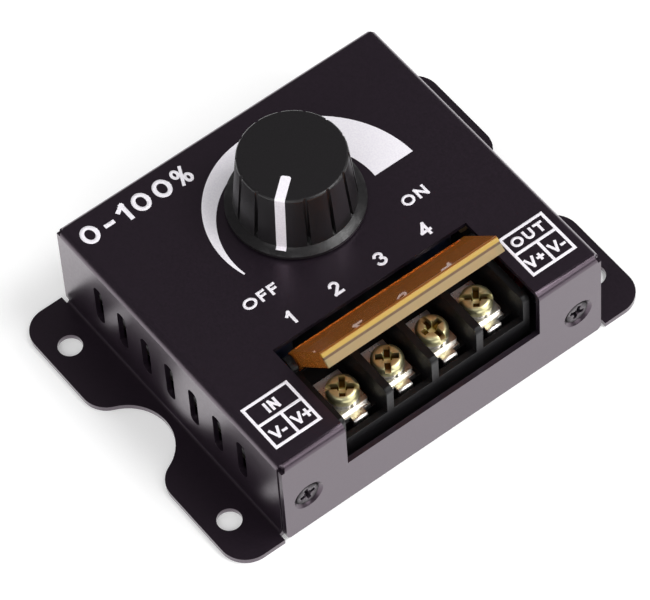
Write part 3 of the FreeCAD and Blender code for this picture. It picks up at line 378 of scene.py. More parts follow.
def new_piece(name: str, shape: Shape, finish: Finish | None = None) -> Piece:
    """Make an object at the origin from a shape.

    Args:
        name: Name of the piece.
        shape: Its shape in metres, which is freed.
        finish: Its finish; none for a shape to cut with.

    Returns:
        The piece.
    """
    bmesh.ops.recalc_face_normals(shape, faces=shape.faces)
    mesh = bpy.data.meshes.new(name)
    shape.to_mesh(mesh)
    shape.free()
    if finish:
        mesh.materials.append(finish.material())
    return put(name, mesh)


def bake(piece: Piece) -> None:
    """Turn a piece's modifiers into plain mesh and remove them.

    Args:
        piece: Piece whose modifiers are baked.
    """
    graph = bpy.context.evaluated_depsgraph_get()
    mesh = bpy.data.meshes.new_from_object(piece.evaluated_get(graph), depsgraph=graph)
    piece.modifiers.clear()
    piece.data = mesh


def settle(piece: Piece, body: str, slot: str, *stands_for: str) -> None:
    """Hand a finished piece to the frame.

    Args:
        piece: The piece, at the origin.
        body: Body that it rides on.
        slot: Material slot of the record; not used.
        *stands_for: CAD nodes that it replaces.
    """
    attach(piece, body)
    if stands_for:
        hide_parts(*stands_for)
    log.info("built %s on %s, %d faces", piece.name, body, len(piece.data.polygons))


def lathe(profile: Line, segments: int = 48) -> Shape:
    """Turn a profile round the Z axis.

    Args:
        profile: Radius and height of each corner in millimetres, from axis to axis.
        segments: Steps round the axis.

    Returns:
        Closed shape in metres.
    """
    shape = bmesh.new()
    rings = []
    for radius, height in profile:
        if not radius:
            rings.append([shape.verts.new((0, 0, height * MM))])
            continue
        angles = [2 * math.pi * i / segments for i in range(segments)]
        rings.append([shape.verts.new((radius * math.cos(a) * MM, radius * math.sin(a) * MM,
                                       height * MM)) for a in angles])
    for first, second in zip(rings, rings[1:]):
        for i in range(segments):
            corners = [first[i % len(first)], first[(i + 1) % len(first)],
                       second[(i + 1) % len(second)], second[i % len(second)]]
            unique = list(dict.fromkeys(corners))
            if len(unique) > 2:
                shape.faces.new(unique)
    return shape


def wedge(half_length: float, half_width: float, depth: float, top: float, taper: float) -> Shape:
    """Make a block whose floor is smaller than its top, to cut a recess with.

    Args:
        half_length: Half of its length along X at the top, in millimetres.
        half_width: Half of its width along Y at the top.
        depth: How far its floor lies below the top of the head.
        top: Height of the top of the head.
        taper: How far each side leans in towards the floor.

    Returns:
        Closed shape in metres.
    """
    shape = bmesh.new()
    above = 0.5
    low, high = ([shape.verts.new(((half_length - lean) * x * MM, (half_width - lean) * y * MM,
                                   height * MM)) for x, y in CORNERS]
                 for lean, height in ((taper, top - depth), (0, top + above)))
    shape.faces.new(low)
    shape.faces.new(high)
    for i in range(4):
        shape.faces.new((low[i], low[(i + 1) % 4], high[(i + 1) % 4], high[i]))
    return shape


def carve(piece: Piece, cutters: list[Shape]) -> None:
    """Cut shapes out of a piece.

    Args:
        piece: Piece that is cut.
        cutters: Closed shapes in metres, which are freed.
    """
    for cutter in cutters:
        tool = new_piece("recess", cutter)
        cut = piece.modifiers.new("recess", "BOOLEAN")
        cut.solver = "EXACT"
        cut.object = tool
        bake(piece)
        bpy.data.objects.remove(tool)


def mark_recess_shade(piece: Piece, top: float, depth: float, reach: float, rim: float = math.inf) -> None:
    """Note how deep each corner of a head lies in its recess, where the finish paints shade.

    Args:
        piece: Fastener that stands along Z.
        top: Height of the top of its head in millimetres.
        depth: Depth of the recess.
        reach: Radius within which corners count.
        rim: Radius past which they lie in the groove round the head, which gets painted shadow.
    """
    slack, groove_shadow = 0.05, 0.9
    note = piece.data.attributes.new("recess", "FLOAT", "POINT")
    for corner in piece.data.vertices:
        radius, low = corner.co.xy.length / MM, top - corner.co.z / MM
        if radius < reach and low < depth + slack:
            note.data[corner.index].value = min(low / depth, 1)
        # Corners past the rim get a painted shadow for the gap between head and countersink.
        elif radius > rim:
            note.data[corner.index].value = groove_shadow


@dataclass(frozen=True)
class Softening:
    """Rounded edges of a moulded, stamped or coated piece.

    Attributes:
        width: Width of the rounding in millimetres.
        segments: Steps across it.
        from_angle: Edges that turn by more degrees than this are rounded.
    """

    width: float
    segments: int = 2
    from_angle: float = 35.0

    def replace(self, node: str, name: str, finish: Finish, body: str, slot: str) -> None:
        """Put a copy with rounded edges in the place of a CAD node.

        Args:
            node: Node of the frame.
            name: Name of the new piece.
            finish: Finish of the piece.
            body: Body that it rides on.
            slot: Material slot of the record.
        """
        flat = math.radians(0.4)
        shape = bmesh.new()
        shape.from_mesh(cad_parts[node].data)
        bmesh.ops.remove_doubles(shape, verts=shape.verts, dist=1e-6)
        bmesh.ops.dissolve_limit(shape, angle_limit=flat, verts=shape.verts, edges=shape.edges)
        piece = new_piece(name, shape, finish)
        self.round_edges(piece)
        settle(piece, body, slot, node)

    def round_edges(self, piece: Piece) -> None:
        """Round a piece's sharp edges and smooth its shading.

        Args:
            piece: Piece with plain mesh.
        """
        for face in piece.data.polygons:
            face.use_smooth = True
        bevel = piece.modifiers.new("rounding", "BEVEL")
        bevel.width = self.width * MM
        bevel.segments = self.segments
        bevel.limit_method = "ANGLE"
        bevel.angle_limit = math.radians(self.from_angle)
        bevel.miter_outer = "MITER_ARC"
        weighted = piece.modifiers.new("shading", "WEIGHTED_NORMAL")
        weighted.keep_sharp = True
        bake(piece)


def geometry_tree(name: str, inputs: dict[str, str]) -> tuple[Tree, Node]:
    """Make a geometry tree that takes geometry, a finish and further inputs.

    Args:
        name: Name of the tree.
        inputs: Name of each further input to its kind of socket.

    Returns:
        The tree and its input node.
    """
    tree = bpy.data.node_groups.new(name, "GeometryNodeTree")
    for label, kind in {"Geometry": "Geometry", "Finish": "Material", **inputs}.items():
        tree.interface.new_socket(label, in_out="INPUT", socket_type=f"NodeSocket{kind}")
    tree.interface.new_socket("Geometry", in_out="OUTPUT", socket_type="NodeSocketGeometry")
    return tree, add(tree, "NodeGroupInput")


def end_tree(tree: Tree, start: Node, shape: Node) -> None:
    """End a geometry tree with plain mesh in its finish.

    Args:
        tree: Geometry tree.
        start: Its input node.
        shape: Node that gives the shape.
    """
    real = add(tree, "GeometryNodeRealizeInstances", links={"Geometry": shape})
    done = add(tree, "GeometryNodeSetMaterial",
               links={"Geometry": real, "Material": start.outputs["Finish"]})
    add(tree, "NodeGroupOutput", links={"Geometry": done})


def run_tree(piece: Piece, tree: Tree, finish: Finish, values: dict[str, object]) -> None:
    """Run a geometry tree on a piece and keep the plain mesh.

    Args:
        piece: Piece that carries the points or lines.
        tree: Geometry tree.
        finish: Finish of the result.
        values: Name of each further input to its value.
    """
    modifier = piece.modifiers.new(tree.name, "NODES")
    modifier.node_group = tree
    values = {"Finish": finish.material(), **values}
    for item in tree.interface.items_tree:
        if item.in_out == "INPUT" and item.name in values:
            modifier[item.identifier] = values[item.name]
    piece.update_tag()
    bake(piece)
    shape = bmesh.new()
    shape.from_mesh(piece.data)
    bmesh.ops.recalc_face_normals(shape, faces=shape.faces)
    shape.to_mesh(piece.data)
    shape.free()


def stroke_tree() -> Tree:
    """Build a tree that turns lines with a "stroke" attribute into flat ink with square ends.

    Returns:
        The tree.
    """
    tree, start = geometry_tree("ink_strokes", {"Ink height": "Float"})
    width = add(tree, "GeometryNodeInputNamedAttribute", {"Name": "stroke"},
                data_type="FLOAT").outputs[0]
    lines = add(tree, "GeometryNodeMeshToCurve", links={"Mesh": start.outputs["Geometry"]})
    level = add(tree, "GeometryNodeSetCurveNormal", links={"Curve": lines}, mode="Z_UP")
    bar = add(tree, "GeometryNodeCurvePrimitiveQuadrilateral", {"Width": 1.0, "Height": 1.0})
    ribbons = add(tree, "GeometryNodeCurveToMesh", {"Fill Caps": True},
                  {"Curve": level, "Profile Curve": bar, "Scale": width})
    block = add(tree, "GeometryNodeMeshCube", {"Size": (1.0, 1.0, 1.0)})
    tips = add(tree, "GeometryNodeCurveEndpointSelection")
    along = add(tree, "GeometryNodeInputTangent")
    turned = add(tree, "FunctionNodeAlignRotationToVector", links={"Vector": along}, axis="X")
    ends = add(tree, "GeometryNodeInstanceOnPoints", links={
        "Points": lines, "Selection": tips, "Instance": block, "Rotation": turned,
        "Scale": width})
    both = add(tree, "GeometryNodeJoinGeometry", links={"Geometry": [ribbons, ends]})
    real = add(tree, "GeometryNodeRealizeInstances", links={"Geometry": both})
    place = add(tree, "GeometryNodeInputPosition")
    split = add(tree, "ShaderNodeSeparateXYZ", links={0: place})
    side = add(tree, "ShaderNodeMath", links={0: split.outputs[2]}, operation="SIGN")
    height = add(tree, "ShaderNodeMath", links={0: side, 1: start.outputs["Ink height"]},
                 operation="MULTIPLY")
    flat = add(tree, "ShaderNodeCombineXYZ", links={
        0: split.outputs[0], 1: split.outputs[1], 2: height})
    moved = add(tree, "GeometryNodeSetPosition", links={"Geometry": real, "Position": flat})
    joined = add(tree, "GeometryNodeMeshBoolean", {"Self Intersection": True},
                 {"Mesh 2": moved}, operation="UNION", solver="EXACT")
    end_tree(tree, start, joined)
    return tree


def fastener_tree() -> Tree:
    """Build a tree that sets a fastener on each point, turned by the point's "turn" attribute.

    Returns:
        The tree.
    """
    tree, start = geometry_tree("fasteners_on_points", {"Fastener": "Object"})
    unit = add(tree, "GeometryNodeObjectInfo", links={"Object": start.outputs["Fastener"]})
    turn = add(tree, "GeometryNodeInputNamedAttribute", {"Name": "turn"},
               data_type="FLOAT_VECTOR").outputs[0]
    angle = add(tree, "FunctionNodeEulerToRotation", links={0: turn})
    spread = add(tree, "GeometryNodeInstanceOnPoints", links={
        "Points": start.outputs["Geometry"], "Instance": unit.outputs["Geometry"],
        "Rotation": angle})
    end_tree(tree, start, spread)
    return tree


def thread_tree() -> Tree:
    """Build a tree that winds a thread downwards from z = 0 round the core of a screw.

    Returns:
        The tree.
    """
    tree, start = geometry_tree("screw_thread", dict.fromkeys(
        ("Core radius", "Ridge", "Length", "Turns"), "Float"))
    coil = add(tree, "GeometryNodeCurveSpiral", {"Resolution": 20}, {
        "Rotations": start.outputs["Turns"], "Start Radius": start.outputs["Core radius"],
        "End Radius": start.outputs["Core radius"], "Height": start.outputs["Length"]})
    ridge = add(tree, "GeometryNodeCurvePrimitiveCircle", {"Resolution": 4},
                {"Radius": start.outputs["Ridge"]})
    wound = add(tree, "GeometryNodeCurveToMesh", {"Fill Caps": True},
                {"Curve": coil, "Profile Curve": ridge})
    down = add(tree, "ShaderNodeMath", {1: -1.0}, {0: start.outputs["Length"]},
               operation="MULTIPLY")
    drop = add(tree, "ShaderNodeCombineXYZ", links={2: down})
    hung = add(tree, "GeometryNodeTransform", links={"Geometry": wound, "Translation": drop})
    both = add(tree, "GeometryNodeJoinGeometry", links={
        "Geometry": [hung, start.outputs["Geometry"]]})
    end_tree(tree, start, both)
    return tree


@dataclass
class Housing:
    """Folded cover and base plate, with the insulation sheet between base and board.

    Attributes:
        rounding: Rounding that the coat gives the cut edges of the cover.
    """

    rounding: Softening = Softening(0.14, segments=3)

    def build(self) -> None:
        """Build the coated cover and dress what lies under it."""
        self.rounding.replace(
            "top_cover", "folded_cover", POWDER_COAT, Body.HOUSING, "powder_coat")
        dress_nodes(POWDER_COAT, "base_plate")
        dress_nodes(PRESSBOARD, "insulation_sheet")


@dataclass
class CoverScrews:
    """Countersunk screws with a cross recess that close the cover, two in front and two behind.

    Attributes:
        head_radius: Radius of the head's face in millimetres.
        core_radius: Radius of the shank.
        length: Length of the screw.
        arm: Length of an arm of the cross from its middle.
        arm_half_width: Half of the arm's width.
        place: Distance of the screws from the middle along X and Y, and their height.
        sunk: How far the head lies below the coat.
        spins: How far each is turned in, in degrees.
    """

    head_radius: float = 2.5
    core_radius: float = 1.45
    length: float = 5.0
    arm: float = 1.55
    arm_half_width: float = 0.42
    place: Place = (28.8, 31.45, 8.9)
    sunk: float = 0.3
    spins: tuple[float, ...] = (14, -21, 38, 5)

    def unit(self) -> Piece:
        """Make one screw with its face on z = 0.

        Returns:
            The screw.
        """
        rim, soft, tip = 0.3, 0.28, 0.4
        head, core = self.head_radius, self.core_radius
        profile = [(0, 0), (head - soft, 0), (head, -soft), (head, -rim),
                   (core, core - head - rim), (core, tip - self.length),
                   (core - tip, -self.length), (0, -self.length)]
        screw = new_piece("cover_screw_unit", lathe(profile), BLACK_OXIDE)
        depth, taper, hub, hub_taper = 1.1, 0.12, 0.75, 0.4
        carve(screw, [wedge(self.arm, self.arm_half_width, depth, 0, taper),
                      wedge(self.arm_half_width, self.arm, depth, 0, taper),
                      wedge(hub, hub, depth, 0, hub_taper)])
        Softening(0.05, from_angle=40).round_edges(screw)
        # Painted shade in the cross, and painted shadow in the ring where the head meets the
        # countersink.
        margin, slack = 0.2, 0.02
        mark_recess_shade(screw, 0, depth / 2, self.arm + margin, head - soft - slack)
        return screw

    def build(self) -> None:
        """Set the four screws in the front and back walls."""
        unit = self.unit()
        mesh = bpy.data.meshes.new("cover_screw_heads")
        x, y, z = self.place
        mesh.from_pydata([(x * a * MM, (y - self.sunk) * b * MM, z * MM) for a, b in CORNERS],
                         [], [])
        turns = mesh.attributes.new("turn", "FLOAT_VECTOR", "POINT").data
        for turn, (_, end), degrees in zip(turns, CORNERS, self.spins):
            tilt = Matrix.Rotation(math.radians(-90 * end), 3, "X")
            spin = Matrix.Rotation(math.radians(degrees), 3, "Z")
            turn.vector = (tilt @ spin).to_euler()
        piece = put("cover_screw_heads", mesh)
        run_tree(piece, fastener_tree(), BLACK_OXIDE, {"Fastener": unit})
        bpy.data.objects.remove(unit)
        settle(piece, Body.HOUSING, "black_screw", "cover_screws")


def ellipse(x: float, y: float, wide: float, high: float, start: float = 0.0, end: float = 360.0,
            steps: int = 28) -> Line:
    """Points on part of an ellipse.

    Args:
        x: Middle along X.
        y: Middle along Y.
        wide: Half width.
        high: Half height.
        start: First angle in degrees.
        end: Last angle in degrees.
        steps: Number of steps.

    Returns:
        The points in order.
    """
    angles = [math.radians(start + (end - start) * i / steps) for i in range(steps + 1)]
    return [(x + wide * math.cos(a), y + high * math.sin(a)) for a in angles]


# Centre lines of the letters in a unit box, each with its width in cap heights.
LETTERS: dict[str, tuple[float, list[Line]]] = {
    "O": (1.07, [ellipse(0.5, 0.5, 0.5, 0.5)]),
    "F": (0.66, [[(0, 0), (0, 1), (1, 1)], [(0, 0.52), (0.86, 0.52)]]),
    "N": (0.92, [[(0, 0), (0, 1), (1, 0), (1, 1)]]),
    "I": (0.0, [[(0, 0), (0, 1)]]),
    "U": (0.86, [[(0, 1)] + ellipse(0.5, 0.38, 0.5, 0.38, 180, 360, 14) + [(1, 1)]]),
    "T": (0.86, [[(0, 1), (1, 1)], [(0.5, 1), (0.5, 0)]]),
    "V": (0.95, [[(0, 1), (0.5, 0), (1, 1)]]),
    "0": (0.72, [ellipse(0.5, 0.5, 0.5, 0.5)]),
    "1": (0.42, [[(0, 0.74), (1, 1), (1, 0)]]),
    "2": (0.7, [ellipse(0.48, 0.72, 0.46, 0.28, 165, -38, 12) + [(0.02, 0), (1, 0)]]),
    "3": (0.7, [ellipse(0.46, 0.76, 0.44, 0.24, 160, -90, 12)
                + ellipse(0.46, 0.26, 0.52, 0.26, 90, -160, 14)]),
    "4": (0.76, [[(0.74, 0), (0.74, 1), (0, 0.3), (1, 0.3)]]),
    "-": (0.5, [[(0.1, 0.4), (0.9, 0.4)]]),
    "%": (1.25, [ellipse(0.2, 0.77, 0.2, 0.23), ellipse(0.8, 0.23, 0.2, 0.23),
                 [(0.22, 0), (0.78, 1)]]),
}


@dataclass(frozen=True)
class ArcEdge:
    """An edge of the printed arc, which passes from one circle to another.

    Attributes:
        centres: Middle of the circle at the thin end, and of that at the broad end.
        radii: Their radii in millimetres.
        blend: Angles at which the change starts and ends, in degrees.
        broad: Angle of the broad end.
        thin: Angle of the thin end.
        axis: Knob axis, round which the angles turn.
    """

    centres: tuple[Point, Point]
    radii: tuple[float, float]
    blend: tuple[float, float]
    broad: float
    thin: float = 202.0
    axis: Point = (0.9, 9.85)

    def point(self, share: float) -> Point:
        """Find a point on the edge.

        Args:
            share: How far along the edge it lies, from zero at the thin end to one.

        Returns:
            The point in millimetres.
        """
        degrees = self.thin + (self.broad - self.thin) * share
        way = Vector((math.cos(math.radians(degrees)), math.sin(math.radians(degrees))))
        reaches = []
        for centre, radius in zip(self.centres, self.radii):
            offset = Vector(centre) - Vector(self.axis)
            along = way.dot(offset)
            reaches.append(along + math.sqrt(radius ** 2 - offset.length_squared + along ** 2))
        first, last = self.blend
        part = min(max((first - degrees) / (first - last), 0.0), 1.0)
        part = part * part * (3 - 2 * part)
        x, y = Vector(self.axis) + way * (reaches[0] * (1 - part) + reaches[1] * part)
        return x, y


@dataclass
class LegendPrint:
    """White print on the panel: words, frames, terminal numbers and the widening arc.

    Attributes:
        panel: Height of the panel in millimetres.
        gap: Space between letters in cap heights.
        ink: Height of the ink in millimetres.
        lines: Centre lines that are laid out so far, each with its width.
    """

    panel: float = 21.5
    gap: float = 0.22
    ink: float = 0.03
    lines: list[tuple[Line, float]] = field(default_factory=list)

    def word(self, text: str, left: float, right: float, base: float, cap: float, stroke: float) -> None:
        """Add a word that fills a given space.

        Args:
            text: Letters of the word.
            left: Outer left edge in millimetres.
            right: Outer right edge.
            base: Lower edge.
            cap: Height of the letters.
            stroke: Width of the strokes.
        """
        wide = [LETTERS[c][0] * cap for c in text if LETTERS[c][0]]
        narrow = stroke * (len(text) - len(wide))
        scale = (right - left - narrow) / (sum(wide) + self.gap * cap * (len(text) - 1))
        x = left
        for letter in text:
            share, paths = LETTERS[letter]
            width = share * cap * scale if share else stroke
            for path in paths:
                self.lines.append(([(x + stroke / 2 + (width - stroke) * u,
                                     base + stroke / 2 + (cap - stroke) * v) for u, v in path],
                                   stroke))
            x += width + self.gap * cap * scale

    def line(self, points: Line, stroke: float) -> None:
        """Add a plain line."""
        self.lines.append((points, stroke))

    def plus(self, x: float, y: float, arm: float, stroke: float) -> None:
        """Add a plus sign by its middle and the length of its arms' centre lines."""
        self.line([(x - arm, y), (x + arm, y)], stroke)
        self.line([(x, y - arm), (x, y + arm)], stroke)

    def frame_box(self, left: float, right: float, low: float, high: float, middle: float,
                  divider: float) -> None:
        """Add a frame with a line across and a divider under it.

        Args:
            left: Left line in millimetres.
            right: Right line.
            low: Lower line.
            high: Upper line.
            middle: Line across.
            divider: Line between the two lower fields.
        """
        stroke = 0.56
        self.line([(left, low), (right, low), (right, high), (left, high), (left, low)], stroke)
        self.line([(left, middle), (right, middle)], stroke)
        self.line([(divider, low), (divider, middle)], stroke)

    def write(self) -> None:
        """Lay out every word, sign and frame."""
        thin, small = 0.5, 2.25
        for text, left, right, base, height, stroke in (
                ("OFF", -19.08, -12.1, -3.03, 2.27, thin), ("ON", 14.65, 19.75, -3.05, 2.27, thin),
                ("0-100", -31.9, -13.3, 24.6, 3.95, 0.82), ("%", -12.5, -9.2, 24.6, 3.95, 0.58),
                ("IN", -28.5, -26.0, -21.4, 2.2, thin), ("V", -30.95, -28.95, -26.3, small, thin),
                ("V", -26.47, -24.5, -26.3, small, thin), ("OUT", 23.55, 30.5, -21.4, 2.1, thin),
                ("V", 22.94, 24.9, -26.3, small, thin), ("V", 27.93, 29.9, -26.3, small, thin)):
            self.word(text, left, right, base, height, stroke)
        base, cap, stroke = -9.9, 2.9, 0.55
        for number, x in zip("1234", TerminalStrip.places):
            half = LETTERS[number][0] * cap / 2
            self.word(number, x - half, x + half, base, cap, stroke)
        self.frame_box(-31.7, -22.65, -27.5, -18.2, -22.4, -27.0)
        self.line([(-28.75, -25.49), (-28.2, -25.49)], thin)
        self.plus(-23.62, -25.17, 0.65, thin)
        self.frame_box(22.6, 31.5, -27.4, -18.3, -22.35, 27.3)
        self.plus(25.83, -25.13, 0.5, thin)
        self.line([(30.15, -25.5), (30.7, -25.5)], thin)

    @staticmethod
    def runs(points: Line) -> list[Line]:
        """Split a line where it turns sharply, so that each run keeps its full width.

        Args:
            points: The line.

        Returns:
            Its runs, in order.
        """
        sharp = math.radians(25)
        finished, run = [], [points[0]]
        for before, here, after in zip(points, points[1:], points[2:]):
            run.append(here)
            turn = (Vector(here) - Vector(before)).angle(Vector(after) - Vector(here), 0)
            if turn > sharp:
                finished.append(run)
                run = [here]
        return [*finished, [*run, points[-1]]]

    def strokes(self) -> None:
        """Turn every line into ink."""
        corners, edges, widths = [], [], []
        runs = [(run, stroke) for points, stroke in self.lines for run in self.runs(points)]
        for points, stroke in runs:
            first = len(corners)
            corners += [(x * MM, y * MM, 0) for x, y in points]
            edges += [(first + i, first + i + 1) for i in range(len(points) - 1)]
            widths += [stroke * MM] * len(points)
        mesh = bpy.data.meshes.new("legend_print")
        mesh.from_pydata(corners, edges, [])
        mesh.attributes.new("stroke", "FLOAT", "POINT").data.foreach_set("value", widths)
        piece = put("legend_print", mesh)
        run_tree(piece, stroke_tree(), SCREEN_INK, {"Ink height": self.ink * MM})
        piece.data.transform(Matrix.Translation((0, 0, self.panel * MM)))
        settle(piece, Body.HOUSING, "white_mark")

    def arc(self) -> None:
        """Build the arc that widens from OFF to ON."""
        outer = ArcEdge(((1.88, 8.54), (0.93, 4.98)), (17.6, 21.9), (93.0, 38.0), -10.8)
        inner = ArcEdge(((0.76, 6.16), (-0.08, 6.66)), (15.66, 14.78), (100.0, 60.0), -16.9)
        steps = 72
        shape = bmesh.new()
        rows = []
        for i in range(steps + 1):
            ends = [edge.point(i / steps) for edge in (outer, inner)]
            rows.append([shape.verts.new((x * MM, y * MM, (self.panel + z) * MM))
                         for x, y in ends for z in (self.ink, -self.ink)])
        for a, b in zip(rows, rows[1:]):
            for quad in ((a[0], b[0], b[2], a[2]), (a[1], a[3], b[3], b[1]),
                         (a[0], a[1], b[1], b[0]), (a[2], b[2], b[3], a[3])):
                shape.faces.new(quad)
        for row in (rows[0], rows[-1]):
            shape.faces.new((row[0], row[1], row[3], row[2]))
        settle(new_piece("level_arc", shape, SCREEN_INK), Body.HOUSING, "white_mark")

    def build(self) -> None:
        """Print the panel."""
        self.write()
        self.strokes()
        self.arc()


@dataclass
class TerminalStrip:
    """Barrier block with its contacts, washers and screws.

    Attributes:
        places: Middle of each screw along X in millimetres.
        line: Where the row of screws lies along Y.
        seat: Height of the underside of the heads.
        head_radius: Radius of a screw's head.
        head_height: Height of the head.
        core_radius: Radius of the shank under the thread.
        shank: Length of the shank.
        slot_angles: Direction of each screw's slot in degrees.
    """

    places: tuple[float, ...] = (-14.25, -4.75, 4.75, 14.25)
    line: float = -22.2
    seat: float = 14.9
    head_radius: float = 2.9
    head_height: float = 2.0
    core_radius: float = 1.3
    shank: float = 6.0
    slot_angles: tuple[float, ...] = (-36.0, 56.0, -84.5, -36.0)

    def screw(self, number: int) -> Piece:
        """Make one screw with a slotted cross recess and a thread.

        Args:
            number: Number of the terminal, from one.

        Returns:
            The screw, in its place.
        """
        radius, core, top = self.head_radius, self.core_radius, self.head_height
        edge, foot, tip, margin = 0.9, 0.12, 0.35, 0.4
        dome = [(radius - edge + edge * math.cos(a), top - edge + edge * math.sin(a))
                for a in (math.radians(d) for d in range(90, -1, -15))]
        profile = [(0, top), *dome, (radius, foot), (radius - foot, 0), (core, 0),
                   (core, tip - self.shank), (core - tip, -self.shank), (0, -self.shank)]
        piece = new_piece(f"combination_screw_{number}", lathe(profile, 64), YELLOW_ZINC)
        # A slot right across, the two arms of the cross, and the cone where they meet.
        depth = 1.2
        carve(piece, [wedge(3.2, 0.6, 0.9, top, 0.1), wedge(0.62, 2.1, depth, top, 0.15),
                      wedge(2.1, 0.62, depth, top, 0.15), wedge(1.0, 1.0, 1.6, top, 0.5)])
        Softening(0.06, from_angle=38).round_edges(piece)
        # Painted shade in the slot and the cross.
        mark_recess_shade(piece, top, depth, radius - margin)
        pitch, ridge, plain = 0.5, 0.2, 0.8
        length = self.shank - plain
        run_tree(piece, thread_tree(), YELLOW_ZINC, {
            "Core radius": core * MM, "Ridge": ridge * MM, "Length": length * MM,
            "Turns": length / pitch})
        turn = Matrix.Rotation(math.radians(self.slot_angles[number - 1]), 4, "Z")
        seat = Vector((self.places[number - 1], self.line, self.seat)) * MM
        piece.data.transform(Matrix.Translation(seat) @ turn)
        return piece

    def build(self) -> None:
        """Build the block, the contacts and the four clamps."""
        Softening(0.18, segments=3).replace(
            "terminal_block", "barrier_block", THERMOSET, Body.HOUSING, "block")
        Softening(0.1).replace(
            "terminal_contacts", "plated_contacts", NICKEL, Body.HOUSING, "nickel")
        for n in range(1, len(self.places) + 1):
            Softening(0.09).replace(
                f"clamp_washer_{n}", f"square_washer_{n}", NICKEL, f"clamp_{n}", "nickel")
            Softening(0.24, segments=3).replace(
                f"split_washer_{n}", f"spring_washer_{n}", NICKEL, f"clamp_{n}", "nickel")
            settle(self.screw(n), f"screw_{n}", "yellow_zinc", f"terminal_screw_{n}")


@dataclass
class FlipCover:
    """Amber cover over the terminals.

    Attributes:
        rounding: Rounding of its moulded edges.
    """

    rounding: Softening = Softening(0.2, segments=3)

    def build(self) -> None:
        """Build the cover in clear plastic."""
        self.rounding.replace(
            "terminal_cover", "amber_flip_cover", POLYCARBONATE, Body.FLIP, "amber")


@dataclass
class Knob:
    """Fluted knob with its white line, and the potentiometer that it turns.

    Attributes:
        rounding: Rounding of the moulded edges.
    """

    rounding: Softening = Softening(0.12)

    def build(self) -> None:
        """Build the knob and dress the potentiometer."""
        self.rounding.replace("knob", "fluted_knob", KNOB_PLASTIC, Body.KNOB, "knob")
        dress_nodes(LINE_PAINT, "knob_pointer")
        dress_nodes(TURNED_ALUMINIUM, "pot_shaft")
        dress_nodes(NICKEL, "knob_spring_clip", "wiper_contact", "potentiometer_washer")
        dress_nodes(PHENOLIC_PAPER, "potentiometer_wafer", "wiper_carrier")
        dress_nodes(DRAWN_CAN, "potentiometer_can")
        dress_nodes(TURNED_BRASS, "potentiometer_bushing", "potentiometer_nut")
        dress_nodes(TINNED, "potentiometer_terminals")


@dataclass
class Electronics:
    """Circuit board with its parts, pillars and heat spreader."""

    def build(self) -> None:
        """Dress every part on the board."""
        dress_nodes(SOLDER_MASK, "circuit_board")
        dress_nodes(ZINC, "board_standoffs", "board_screws", "mosfet_screws")
        dress_nodes(ROLLED_ALUMINIUM, "heat_spreader")
        dress_nodes(TINNED, "mosfet_tabs", "mosfet_leads", "timer_chip_legs")
        dress_nodes(EPOXY, "mosfet_bodies", "timer_chip", "voltage_regulator", "flyback_diode")
        dress_nodes(SLEEVE, "filter_capacitors")
        dress_nodes(RESISTOR_COAT, "resistors")
        dress_nodes(FILM_DIP, "film_capacitors")


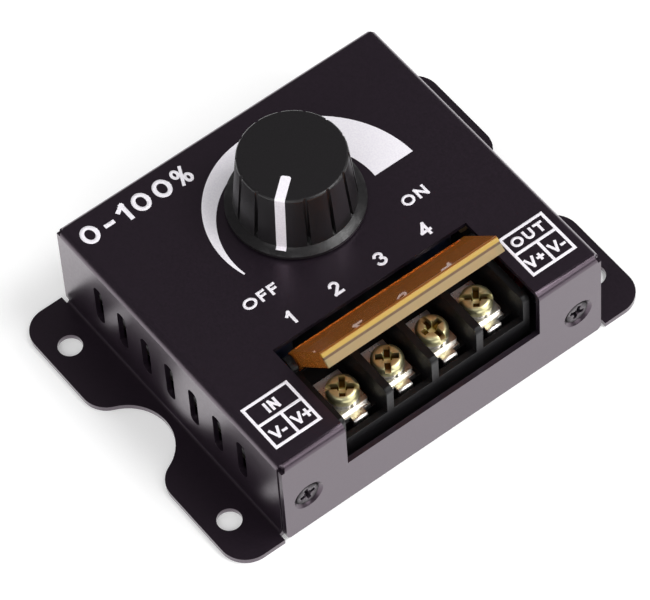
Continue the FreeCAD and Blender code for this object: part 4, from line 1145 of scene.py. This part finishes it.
@dataclass
class Studio:
    """Pale floor, three soft lamps and the camera.

    Attributes:
        azimuth: Direction from which the camera looks, in degrees.
        elevation: Its height above the horizon in degrees.
        roll: Its turn about its own line of sight in degrees.
        stand: Place of the camera in millimetres.
        lens: Focal length on a sensor 36 mm wide.
        horizon: Sine of the height above which gloss mirrors the dark sky.
        gloss_sky: Level of that sky.
        fill: Level of the sky for plain surfaces, at the horizon and overhead.
        floor_glow: Glow of the floor that the eye sees; in gloss it is one.
    """

    azimuth: float = -34.006
    elevation: float = 55.368
    roll: float = 4.398
    stand: Place = (-282.914, -417.356, 734.272)
    lens: float = 286.83
    horizon: float = 0.12
    gloss_sky: float = 0.09
    fill: tuple[float, float] = (0.95, 0.3)
    floor_glow: float = 0.26

    def camera(self) -> None:
        """Set the camera."""
        turns = (self.azimuth, "Z"), (90 - self.elevation, "X"), (-self.roll, "Z")
        aim = Matrix.Translation(Vector(self.stand) * MM)
        for angle, axis in turns:
            aim @= Matrix.Rotation(math.radians(angle), 4, axis)
        lens = bpy.data.cameras.new("camera")
        lens.sensor_width = 36.0
        lens.sensor_fit = "HORIZONTAL"
        lens.lens = self.lens
        lens.clip_start, lens.clip_end = 0.01, 20.0
        camera = put("camera", lens)
        camera.matrix_world = aim
        bpy.context.scene.camera = camera

    def lamps(self) -> None:
        """Hang the key lamp and two softer ones, in front and at the left, by metres and watts."""
        for name, place, size, watts in (
                ("key_light", (0.34, -0.24, 0.68), 0.3, 2.6),
                ("front_light", (0.25, -0.61, 0.44), 0.36, 1.6),
                ("left_light", (-0.5, -0.3, 0.5), 0.4, 1.4)):
            light = bpy.data.lights.new(name, "AREA")
            light.shape = "SQUARE"
            light.size = size
            light.energy = watts
            lamp = put(name, light)
            lamp.location = place
            lamp.rotation_euler = Vector(place).to_track_quat("Z", "Y").to_euler()

    def world(self) -> None:
        """Set a sky that is white to the eye, plain to surfaces and dark in gloss."""
        world = bpy.data.worlds.new("studio")
        bpy.context.scene.world = world
        world.use_nodes = True
        tree = world.node_tree
        tree.nodes.clear()
        rays = add(tree, "ShaderNodeLightPath")
        way = add(tree, "ShaderNodeTexCoord").outputs["Generated"]
        height = add(tree, "ShaderNodeSeparateXYZ", links={0: way}).outputs[2]
        mirrored = add(tree, "ShaderNodeMapRange", {
            "From Max": self.horizon, "To Min": 1.0, "To Max": self.gloss_sky}, {"Value": height})
        fill = add(tree, "ShaderNodeMapRange", {
            "To Min": self.fill[0], "To Max": self.fill[1]}, {"Value": height})
        direct = add(tree, "ShaderNodeMix", {2: 1.0}, {
            "Factor": rays.outputs["Glossy Depth"], 3: mirrored})
        level = add(tree, "ShaderNodeMix", links={
            "Factor": rays.outputs["Diffuse Depth"], 2: direct, 3: fill})
        sky = add(tree, "ShaderNodeBackground", {"Color": linear("#FFFFFF")}, {"Strength": level})
        add(tree, "ShaderNodeOutputWorld", links={"Surface": sky})

    def floor(self) -> None:
        """Lay the pale floor, in metres, which reads as white and keeps the shadow."""
        half, below = 3.0, 0.0001
        mesh = bpy.data.meshes.new("floor")
        mesh.from_pydata([(half * x, half * y, -below) for x, y in CORNERS], [], [(0, 1, 2, 3)])
        paper = bpy.data.materials.new("white_paper_sweep")
        paper.use_nodes = True
        tree = paper.node_tree
        tree.nodes.clear()
        rays = add(tree, "ShaderNodeLightPath")
        seen = add(tree, "ShaderNodeMix", {2: self.floor_glow, 3: 1.0}, {
            "Factor": rays.outputs["Glossy Depth"]})
        glow = add(tree, "ShaderNodeMix", {3: 0.0}, {
            "Factor": rays.outputs["Diffuse Depth"], 2: seen})
        lit = add(tree, "ShaderNodeBsdfDiffuse", {"Color": linear("#EDEDED")})
        bright = add(tree, "ShaderNodeEmission", links={"Strength": glow})
        both = add(tree, "ShaderNodeAddShader", links={0: lit, 1: bright})
        add(tree, "ShaderNodeOutputMaterial", links={"Surface": both})
        mesh.materials.append(paper)
        put("floor", mesh)

    def build(self) -> None:
        """Set up the studio."""
        bpy.context.scene.view_settings.view_transform = "Standard"
        self.camera()
        self.lamps()
        self.world()
        self.floor()


def main() -> None:
    """Build every sub-assembly in order and report it."""
    logging.basicConfig(level=logging.INFO, format="%(message)s")
    for part in (Studio(), Housing(), CoverScrews(), LegendPrint(), TerminalStrip(),
                 FlipCover(), Knob(), Electronics()):
        part.build()
        log.info("finished %s", type(part).__name__)


if __name__ == "__main__":
    main()
